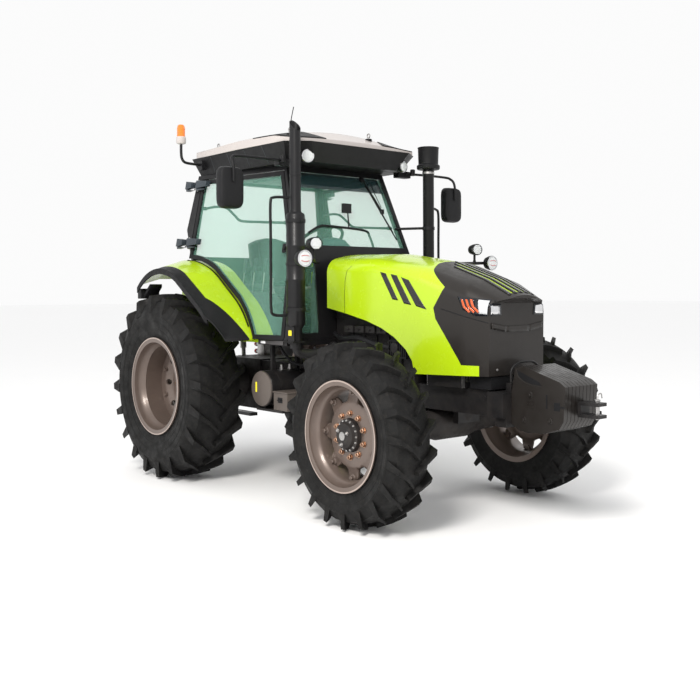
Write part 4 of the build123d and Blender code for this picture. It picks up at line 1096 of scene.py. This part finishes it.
def seat():
    """The padded seat with its arms, on a bellows base."""
    rows = []
    for y, drop in ((-0.232, 0.02), (-0.2, 0.0), (-0.15, 0.006), (-0.06, 0.016), (0.06, 0.016),
            (0.15, 0.006), (0.2, 0.0), (0.232, 0.02)):
        rows.append((y, 0.243, 0.707, 1.57, 1.657 - drop, (0.0, 0.0)))
    cushion = cushion_base("seat_cushion_padded", rows)
    inflate(cushion, 0.01)
    sew(cushion, (-0.155, 0.155), Vector((0, 1, 0)), Vector((0, 0, 1)))
    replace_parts(cushion, "seat_cushion")
    rows = []
    for y, drop in ((-0.218, 0.016), (-0.185, 0.0), (-0.14, 0.01), (-0.05, 0.022), (0.05, 0.022),
            (0.14, 0.01), (0.185, 0.0), (0.218, 0.016)):
        top = 2.124 - 1.4 * y * y
        rows.append((y, 0.182, 0.278 - drop, 1.702, top, (0.0, -0.052)))
    back = cushion_base("seat_back_padded", rows)
    inflate(back, 0.01)
    sew(back, (-0.145, 0.145), Vector((0, 1, 0)), Vector((0.99, 0, 0.14)))
    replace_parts(back, "seat_back")
    frame_piece = Shape()
    for sign in (-1, 1):
        frame_piece.hose([(0.33, sign * 0.268, 1.6), (0.22, sign * 0.272, 1.7), (0.17, sign * 0.272, 1.8),
            (0.16, sign * 0.262, 1.86)], 0.012, 6, 10)
        frame_piece.box(0.24, 0.5, sign * 0.262, sign * 0.312, 1.8, 1.846)
        frame_piece.bar((0.2, sign * 0.286, 1.78), (0.3, sign * 0.286, 1.815), 0.014)
    frame_piece.piece("seat_arms", PLASTIC, bevel=0.01)
    base = Shape()
    for k in range(6):
        z = 1.3 + 0.04 * k
        base.box(0.262 + 0.012 * (k % 2), 0.638 - 0.012 * (k % 2), -0.19 + 0.012 * (k % 2),
            0.19 - 0.012 * (k % 2), z, z + 0.034)
    base.box(0.25, 0.65, -0.2, 0.2, 1.238, 1.296)
    base.box(0.25, 0.65, -0.2, 0.2, 1.536, 1.56)
    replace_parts(base.piece("seat_base_dressed", PLASTIC, bevel=0.006), "seat_base")


def consoles():
    """Dashboard, instruments, side consoles, levers, pedals, mat, grab tube and roof lining."""
    dash = Shape()
    dash.prism([(1.12, -0.2, 1.87), (1.13, -0.25, 1.6), (1.15, -0.26, 1.238), (1.38, -0.26, 1.238),
        (1.38, -0.25, 1.86), (1.3, -0.23, 1.885)], (0, 0.46, 0))
    dash.box(1.15, 1.38, 0.198, 0.26, 1.238, 1.82)
    for sign in (-1, 1):
        chest = [(0.18, 1.238), (0.9, 1.238), (0.89, 1.52), (0.76, 1.612), (0.3, 1.64), (0.18, 1.6)]
        dash.prism(side_on(chest, sign * 0.33), (0, sign * 0.225, 0))
        dash.box(0.28, 0.7, sign * 0.345, sign * 0.43, 1.64, 1.69)
    obj = dash.piece("consoles_dressed", GREY, bevel=0.022)
    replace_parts(obj, "consoles")
    hood = [(-0.207, 1.88), (-0.19, 2.0), (-0.14, 2.07), (-0.03, 2.078), (0.085, 1.985), (0.13, 1.88)]
    cowl = Shape().prism(front_on(hood, 1.19), (0.15, 0, -0.03))
    cowl.piece("instrument_cowl", TEAL, bevel=0.018)
    panel = [(-0.17, 1.9), (-0.155, 1.99), (-0.12, 2.04), (-0.03, 2.046), (0.055, 1.975), (0.085, 1.9)]
    face = Shape().prism(front_on(panel, 1.188), (-0.002, 0, 0))
    face.piece("instrument_face", SCREEN)
    dials = Shape()
    for y, z, radius in ((-0.11, 1.975, 0.038), (-0.03, 1.99, 0.03), (0.03, 1.95, 0.022)):
        dials.lathe([(0, radius), (0.003, radius), (0.003, radius - 0.004), (0, radius - 0.005)],
            (1.186, y, z), BACK, 28, False)
    dials.piece("instrument_rings", CHROME)
    levers = Shape()
    knobs = Shape()
    for k, y in enumerate((-0.52, -0.48, -0.44)):
        x = 0.52 + 0.095 * k
        levers.bar((x, y, 1.61), (x + 0.04, y, 1.79), 0.006)
        grip = [(x + 0.026, 1.78), (x + 0.06, 1.78), (x + 0.092, 1.9), (x + 0.046, 1.905)]
        knobs.prism(side_on(grip, y - 0.008), (0, 0.018, 0))
    levers.lathe([(0, 0.03), (0.02, 0.024), (0.05, 0.014)], (0.8, -0.4, 1.6), UP, 16)
    levers.bar((0.8, -0.4, 1.61), (0.82, -0.4, 1.74), 0.007)
    knobs.lathe([(0, 0.01), (0.012, 0.022), (0.034, 0.024), (0.046, 0.012), (0.048, 0.0)],
        (0.82, -0.4, 1.735), (0.1, 0, 1), 20)
    levers.piece("console_levers", STEEL)
    knobs.piece("console_knobs", SLATE, bevel=0.005)
    pedals = Shape()
    for y in (-0.2, -0.12, 0.17):
        pedals.box(1.05, 1.07, y - 0.034, y + 0.034, 1.33, 1.42)
        pedals.bar((1.064, y, 1.38), (1.14, y, 1.48), 0.01)
    pedals.piece("pedals", BLACK, bevel=0.004)
    mat = Shape().box(0.3, 1.12, -0.32, 0.32, 1.2382, 1.246)
    mat.piece("floor_mat", FLARE, bevel=0.003)
    tubes = Shape()
    tubes.hose([(1.365, -0.43, 2.09), (1.35, -0.3, 2.15), (1.35, -0.168, 2.152), (1.35, 0.163, 2.132),
        (1.352, 0.225, 2.08), (1.36, 0.274, 1.953), (1.362, 0.29, 1.89)], 0.01, 8, 10)
    tubes.bar((1.35, 0.0, 2.14), (1.345, -0.01, 2.3), 0.006)
    tubes.box(1.325, 1.35, -0.06, 0.03, 2.27, 2.35)
    tubes.piece("cab_grab_tube", BLACK, bevel=0.003)
    lining = Shape().box(0.14, 1.13, -0.52, 0.52, 2.61, 2.634)
    lining.box(0.3, 0.85, -0.26, 0.26, 2.59, 2.612)
    lining.piece("roof_lining", GREY, bevel=0.008)


seat()
consoles()
COLUMN_AXIS = (-0.55, 0, 0.84)
CAP = [(0.018, 0.046), (0.03, 0.044), (0.036, 0.034), (0.037, 0.0)]
Shape().lathe(CAP, (0.96, 0, 2.06), COLUMN_AXIS, 32).piece("steering_cap", GREY, "steering_wheel")


# ---------------------------------------------------------------- pieces: chassis and engine bay
def side_tank():
    """The air tank across the chassis with straps and fittings, and the toolbox before it."""
    tank = Shape()
    place = (1.165, -0.3, 0.844)
    tank.lathe([(0, 0.0), (0.004, 0.1), (0.03, 0.136), (0.05, 0.142), (0.43, 0.142), (0.432, 0.1435),
        (0.444, 0.1435), (0.446, 0.142), (0.45, 0.142)], place, RIGHT, 56)
    for along in (0.09, 0.33):
        tank.lathe([(along, 0.142), (along, 0.146), (along + 0.032, 0.146), (along + 0.032, 0.142)],
            place, RIGHT, 56, False)
    for y in (-0.42, -0.66):
        tank.box(1.15, 1.18, y, y + 0.032, 0.985, 1.196)
    tank.box(1.08, 1.44, -0.745, -0.34, 0.668, 0.686)
    tank.box(1.08, 1.14, -0.7, -0.36, 0.66, 0.72)
    obj = tank.piece("side_tank_dressed", BLACK, split=30)
    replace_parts(obj, "air_tank")
    cap = Shape().lathe([(0.446, 0.1425), (0.458, 0.138), (0.466, 0.12), (0.468, 0.0)], place, RIGHT, 56)
    cap.piece("side_tank_cap", TAUPE)
    patch = Shape().box(1.1, 1.122, -0.769, -0.7682, 0.815, 0.895)
    patch.piece("side_tank_patch", YELLOW)
    valves = Shape()
    for y in (-0.48, -0.56):
        valves.lathe([(0.0, 0.016), (0.02, 0.016), (0.022, 0.012), (0.04, 0.012), (0.046, 0.006)],
            (1.165, y, 0.984), UP, 16)
    valves.piece("side_tank_valves", STEEL)
    chest = Shape().box(1.318, 1.502, -0.745, -0.48, 0.687, 0.832)
    chest.box(1.312, 1.508, -0.751, -0.474, 0.822, 0.836)
    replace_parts(chest.piece("toolbox_dressed", TAUPE, bevel=0.006), "toolbox")
    handle = Shape().box(1.38, 1.44, -0.7475, -0.7445, 0.748, 0.79)
    grip = [(1.39, -0.748), (1.392, -0.76), (1.41, -0.764), (1.428, -0.76), (1.43, -0.748)]
    handle.hose(top_on(grip, 0.77), 0.004, 5, 8)
    handle.piece("toolbox_handle", PLASTIC, bevel=0.001)


def engine_bay():
    """What shows between the hood and the axle: slats, filters, hoses, covers and pulleys."""
    slats = Shape()
    for k in range(9):
        x = 2.247 + 0.02 * k
        slats.box(x, x + 0.01, -0.336, -0.318, 1.132, 1.246)
    for z in (1.122, 1.244):
        slats.box(2.237, 2.425, -0.34, -0.314, z, z + 0.012)
    slats.mirrored()
    slats.piece("side_slats", PLASTIC, bevel=0.001)
    cans = Shape()
    for x, z, radius, tall in ((1.72, 0.96, 0.045, 0.16), (1.84, 0.96, 0.045, 0.16),
            (1.99, 1.01, 0.038, 0.13)):
        cans.lathe([(0, radius * 0.6), (0.008, radius), (tall - 0.01, radius), (tall, radius * 0.8),
            (tall + 0.01, radius * 0.9), (tall + 0.03, radius * 0.9)], (x, -0.345, z), UP, 28)
    cans.mirrored()
    cans.piece("engine_filters", GREY)
    hoses = Shape()
    for y, z, radius in ((-0.352, 1.23, 0.02), (-0.366, 1.16, 0.012), (-0.345, 1.085, 0.009)):
        hoses.hose([(1.56, y * 0.9, z + 0.05), (1.7, y, z + 0.02), (1.9, y - 0.008, z + 0.03),
            (2.1, y, z - 0.01), (2.24, y * 0.94, z - 0.03)], radius, 8, 12)
    hoses.hose([(1.5, -0.48, 1.18), (1.56, -0.44, 1.06), (1.64, -0.38, 0.96),
        (1.76, -0.34, 0.9)], 0.014, 8, 12)
    hoses.hose([(1.12, -0.56, 1.19), (1.2, -0.52, 1.08), (1.33, -0.5, 1.03), (1.5, -0.47, 1.04),
        (1.62, -0.4, 1.0)], 0.01, 8, 10)
    hoses.mirrored()
    hoses.piece("engine_hoses", PLASTIC)
    cover = Shape()
    for k in range(4):
        x = 1.7 + 0.13 * k
        cover.box(x, x + 0.105, -0.335, -0.3, 1.3, 1.35)
        cover.bolt((x + 0.052, -0.336, 1.325), RIGHT, 0.016)
    cover.mirrored()
    cover.piece("engine_covers", CASTING, bevel=0.004)
    pulley = Shape()
    for y, z, radius in ((0.0, 0.93, 0.095), (0.13, 1.12, 0.05), (-0.12, 1.14, 0.055)):
        pulley.lathe([(-0.012, radius), (-0.006, radius - 0.01), (0.006, radius - 0.01), (0.012, radius),
            (0.014, radius - 0.014), (0.006, 0.02), (0.006, 0.0)], (2.452, y, z), AHEAD, 32)
    pulley.piece("engine_pulleys", BLACK)


def engine_dressing():
    """On the engine block and radiator: rocker cover, manifolds, injectors, turbo, fins and hoses."""
    cover = Shape()
    cover.box(1.56, 2.34, -0.13, 0.13, 1.518, 1.6)
    cover.box(1.545, 2.355, -0.15, 0.15, 1.512, 1.528)
    for k in range(7):
        for sign in (-1, 1):
            cover.bolt((1.59 + 0.12 * k, sign * 0.141, 1.528), UP, 0.014)
    cover.lathe([(0, 0.036), (0.03, 0.036), (0.034, 0.042), (0.048, 0.042), (0.05, 0.0)],
        (2.26, 0.0, 1.6), UP, 24)
    cover.piece("rocker_cover", CASTING, bevel=0.006)
    pipes = Shape()
    pipes.hose([(1.58, -0.19, 1.56), (1.9, -0.192, 1.566), (2.2, -0.192, 1.566),
        (2.36, -0.17, 1.56)], 0.034, 8, 16)
    for k in range(4):
        x = 1.64 + 0.19 * k
        pipes.hose([(x, -0.192, 1.55), (x, -0.16, 1.545), (x, -0.12, 1.53)], 0.024, 5, 14)
        pipes.hose([(x + 0.04, 0.13, 1.56), (x + 0.05, 0.19, 1.585), (x + 0.02, 0.236, 1.56),
            (1.9 + 0.02 * k, 0.25, 1.5)], 0.004, 8, 8)
    pipes.hose([(2.36, -0.17, 1.56), (2.44, -0.12, 1.57), (2.5, -0.08, 1.58),
        (2.56, -0.07, 1.56)], 0.03, 8, 16)
    pipes.hose([(2.36, 0.12, 1.52), (2.43, 0.15, 1.5), (2.5, 0.17, 1.47), (2.556, 0.17, 1.44)], 0.026, 8, 16)
    pipes.piece("engine_pipes", PLASTIC)
    turbo = Shape()
    turbo.lathe([(0, 0.03), (0.012, 0.058), (0.04, 0.066), (0.066, 0.058), (0.076, 0.03), (0.12, 0.03),
        (0.128, 0.05), (0.16, 0.056), (0.184, 0.044), (0.19, 0.026)], (1.64, 0.19, 1.59), AHEAD, 32)
    for k in range(4):
        turbo.hose([(1.66 + 0.14 * k, 0.15, 1.535), (1.66 + 0.13 * k, 0.19, 1.54),
            (1.7 + 0.1 * k, 0.205, 1.56)], 0.02, 5, 12)
    turbo.piece("engine_turbo", COPPER)
    block = Shape()
    for sign in (-1, 1):
        for k in range(6):
            x = 1.56 + 0.142 * k
            block.box(x, x + 0.022, sign * 0.25, sign * 0.262, 0.83, 1.28)
        block.box(1.51, 2.41, sign * 0.25, sign * 0.266, 0.8, 0.826)
        block.box(1.51, 2.41, sign * 0.25, sign * 0.264, 1.4, 1.42)
        block.lathe([(0, 0.05), (0.05, 0.05), (0.056, 0.04), (0.1, 0.04), (0.104, 0.0)],
            (2.3, sign * 0.25, 1.2), (0, sign, 0), 28)
    block.piece("engine_ribs", CASTING, bevel=0.004)
    low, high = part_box("radiator")
    fins = Shape()
    x0, x1 = low[0] - REAR_X, high[0] - REAR_X
    y0, y1 = low[1], high[1]
    z0, z1 = low[2], high[2]
    for k in range(34):
        y = y0 + 0.03 + (y1 - y0 - 0.06) * k / 33
        for x in (x1, x0 - 0.004):
            fins.box(x, x + 0.004, y - 0.0025, y + 0.0025, z0 + 0.04, z1 - 0.06)
    for x in (x0 - 0.006, x1):
        fins.box(x, x + 0.006, y0, y0 + 0.026, z0, z1)
        fins.box(x, x + 0.006, y1 - 0.026, y1, z0, z1)
        fins.box(x, x + 0.006, y0, y1, z1 - 0.05, z1)
    fins.lathe([(0, 0.03), (0.014, 0.03), (0.018, 0.036), (0.028, 0.036), (0.03, 0.0)],
        ((x0 + x1) / 2, y1 - 0.1, z1), UP, 24)
    fins.piece("radiator_fins", STEEL)


def weight_details():
    """Grip pockets and slots as thin dark sheets of painted shade, tie bolts on the front weights' end
    plates, the clevis pin and brackets.
    """
    dark = Shape()
    # the pockets and slots are flat dark sheets on the end plates: painted shade in their hollows
    for points in ([(3.338, 1.088), (3.352, 1.05), (3.4, 1.018), (3.47, 1.0), (3.545, 0.996), (3.53, 1.018),
            (3.45, 1.048)], [(3.585, 0.85), (3.597, 0.85), (3.597, 0.94), (3.585, 0.94)],
            [(3.65, 0.842), (3.7, 0.842), (3.7, 0.862), (3.735, 0.862), (3.735, 0.874), (3.7, 0.874),
            (3.7, 0.895), (3.65, 0.895)]):
        dark.prism(side_on(points, -0.1692), (0, -0.0008, 0))
    dark.mirrored()
    dark.piece("weight_pocket_shade", PLASTIC)
    rims = Shape()
    lip = [(3.332, 1.094), (3.35, 1.046), (3.4, 1.012), (3.47, 0.994), (3.552, 0.99)]
    rims.hose(side_on(lip, -0.1695), 0.003, 6, 8)
    for x, z in ((3.455, 0.93), (3.4, 0.76), (3.62, 0.77)):
        rims.lathe([(0, 0.02), (0.004, 0.02), (0.006, 0.012)], (x, -0.169, z), RIGHT, 20)
        rims.bolt((x, -0.174, z), RIGHT, 0.018)
    for k in range(3):
        rims.box(3.42, 3.48, -0.1715, -0.169, 0.84 + 0.022 * k, 0.85 + 0.022 * k)
    rims.mirrored()
    rims.piece("weight_bolts", GRAPHITE)
    pin = Shape().lathe([(0.79, 0.012), (0.792, 0.0155), (0.905, 0.0155), (0.91, 0.02), (0.918, 0.02),
        (0.922, 0.012)], (3.865, 0, 0), UP, 24)
    pin.hose(front_on([(0, 0.918), (0.012, 0.95), (0.04, 0.955), (0.05, 0.925)], 3.865), 0.004, 5, 8)
    pin.piece("clevis_pin", STEEL)
    plate = [(3.06, 0.93), (3.284, 0.93), (3.284, 0.9), (3.27, 0.76), (3.18, 0.76),
        (3.17, 0.84), (3.06, 0.85)]
    brackets = Shape().prism(side_on(plate, -0.2005), (0, -0.012, 0))
    for x, z in ((3.2, 0.8), (3.25, 0.8), (3.2, 0.87), (3.25, 0.87), (3.1, 0.89)):
        brackets.bolt((x, -0.2125, z), RIGHT, 0.022)
    brackets.mirrored()
    brackets.piece("weight_brackets", BLACK, bevel=0.003)


def rear_details():
    """Tail lamps, the PTO's guard, the stowed top link with its fork, and the remote valves."""
    shell = Shape()
    red = Shape()
    amber = Shape()
    shell.box(-0.3, -0.236, -1.085, -0.905, 1.56, 1.65)
    arm = [(-0.24, 1.6), (-0.12, 1.69), (-0.12, 1.66), (-0.24, 1.56)]
    shell.prism(side_on(arm, -1.06), (0, 0.12, 0))
    red.box(-0.306, -0.299, -0.99, -0.912, 1.567, 1.643)
    amber.box(-0.306, -0.299, -1.078, -0.996, 1.567, 1.643)
    for piece, name, material in ((shell, "tail_lamp_shells", PLASTIC), (red, "tail_lamp_red", RED),
            (amber, "tail_lamp_amber", AMBER)):
        piece.mirrored()
        piece.piece(name, material, bevel=0.004)
    guard = Shape()
    for y0, y1, z0 in ((-0.12, -0.108, 0.64), (0.108, 0.12, 0.64), (-0.12, 0.12, 0.748)):
        guard.box(-0.42, -0.255, y0, y1, z0, 0.76)
    guard.piece("pto_guard", BLACK, bevel=0.006)
    link = Shape()
    link.bar((-0.268, 0.0, 0.98), (-0.3, 0.0, 1.42), 0.02)
    link.bar((-0.276, 0.0, 1.08), (-0.29, 0.0, 1.3), 0.03)
    link.lathe([(-0.022, 0.04), (0.022, 0.04)], (-0.302, 0.0, 1.44), (0, 1, 0), 24)
    link.lathe([(-0.022, 0.036), (0.022, 0.036)], (-0.268, 0.0, 0.97), (0, 1, 0), 24)
    link.piece("stowed_top_link", STEEL)
    fork = Shape()
    fork.box(-0.3, -0.22, -0.048, -0.026, 0.93, 1.01)
    fork.box(-0.3, -0.22, 0.026, 0.048, 0.93, 1.01)
    fork.box(-0.32, -0.22, -0.05, -0.026, 1.38, 1.44)
    fork.piece("top_link_fork", BLACK, bevel=0.004)
    valves = Shape()
    caps = Shape()
    for row in range(2):
        for col in range(3):
            y = 0.17 + 0.062 * col
            z = 1.04 + 0.07 * row
            valves.bar((-0.22, y, z), (-0.292, y, z), 0.018)
            caps.lathe([(0, 0.024), (0.02, 0.024), (0.026, 0.018), (0.028, 0.0)], (-0.292, y, z), BACK, 20)
    valves.box(-0.23, -0.12, 0.13, 0.34, 1.0, 1.15)
    valves.piece("remote_valves", STEEL, bevel=0.003)
    caps.piece("remote_caps", RED)


side_tank()
engine_bay()
engine_dressing()
weight_details()
rear_details()

# ---------------------------------------------------------------- floor, light and camera
FLOOR_SIZE = 240                        # metres, so that the horizon is clean
SKY_STRENGTH = 0.97


def make_floor():
    """White paper under the tractor."""
    bpy.ops.mesh.primitive_grid_add(x_subdivisions=4, y_subdivisions=4, size=FLOOR_SIZE)
    floor = bpy.context.object
    floor.name = "floor"
    paper = Paint("floor_paper", (0.96, 0.96, 0.96), 0.95)
    paper.mix_color(paper.ramp(paper.noise(0.8), 0.0, 0.3), (0.945, 0.945, 0.945))
    floor.data.materials.append(paper.material)


def area_light(name, place, target, size, power, color=(1, 1, 1)):
    """A square light at a place, turned to a target."""
    data = bpy.data.lights.new(name, "AREA")
    data.size = size
    data.energy = power
    data.color = color
    light = bpy.data.objects.new(name, data)
    light.location = place
    light.rotation_euler = (Vector(target) - Vector(place)).to_track_quat("-Z", "Y").to_euler()
    bpy.context.scene.collection.objects.link(light)


def make_lights():
    """A bright even sky, a warm key light and a weak fill."""
    world = bpy.data.worlds.new("studio")
    world.use_nodes = True
    sky = world.node_tree.nodes["Background"]
    sky.inputs["Color"].default_value = (1.0, 1.0, 1.0, 1)
    sky.inputs["Strength"].default_value = SKY_STRENGTH
    bpy.context.scene.world = world
    area_light("key", (4.5, -6.5, 7.0), (0.3, 0, 1.0), 2.4, 750, (1.0, 0.97, 0.93))
    area_light("fill", (-2.0, -9.0, 4.0), (0, 0, 1.0), 5.0, 60)


CAMERA_PLACE = at(7.55, -5.005, 1.614)
CAMERA_YAW = 0.848
CAMERA_PITCH = 0.014
CAMERA_ROLL = -0.004
CAMERA_LENS = 49.0
CAMERA_SHIFT = (-0.0584, -0.0643)


def make_camera():
    """The camera, from its yaw, its tilt down and its roll."""
    look = Vector((-math.sin(CAMERA_YAW) * math.cos(CAMERA_PITCH),
        math.cos(CAMERA_YAW) * math.cos(CAMERA_PITCH), -math.sin(CAMERA_PITCH)))
    across = Vector((math.cos(CAMERA_YAW), math.sin(CAMERA_YAW), 0))
    up = across.cross(look)
    turned_x = across * math.cos(CAMERA_ROLL) + up * math.sin(CAMERA_ROLL)
    turned_y = up * math.cos(CAMERA_ROLL) - across * math.sin(CAMERA_ROLL)
    data = bpy.data.cameras.new("camera")
    data.lens = CAMERA_LENS
    data.shift_x, data.shift_y = CAMERA_SHIFT
    camera = bpy.data.objects.new("camera", data)
    basis = Matrix((turned_x, turned_y, -look)).transposed()
    camera.matrix_world = Matrix.Translation(CAMERA_PLACE) @ basis.to_4x4()
    bpy.context.scene.collection.objects.link(camera)
    bpy.context.scene.camera = camera


make_floor()
make_lights()
make_camera()
bpy.context.scene.view_settings.view_transform = "Standard"
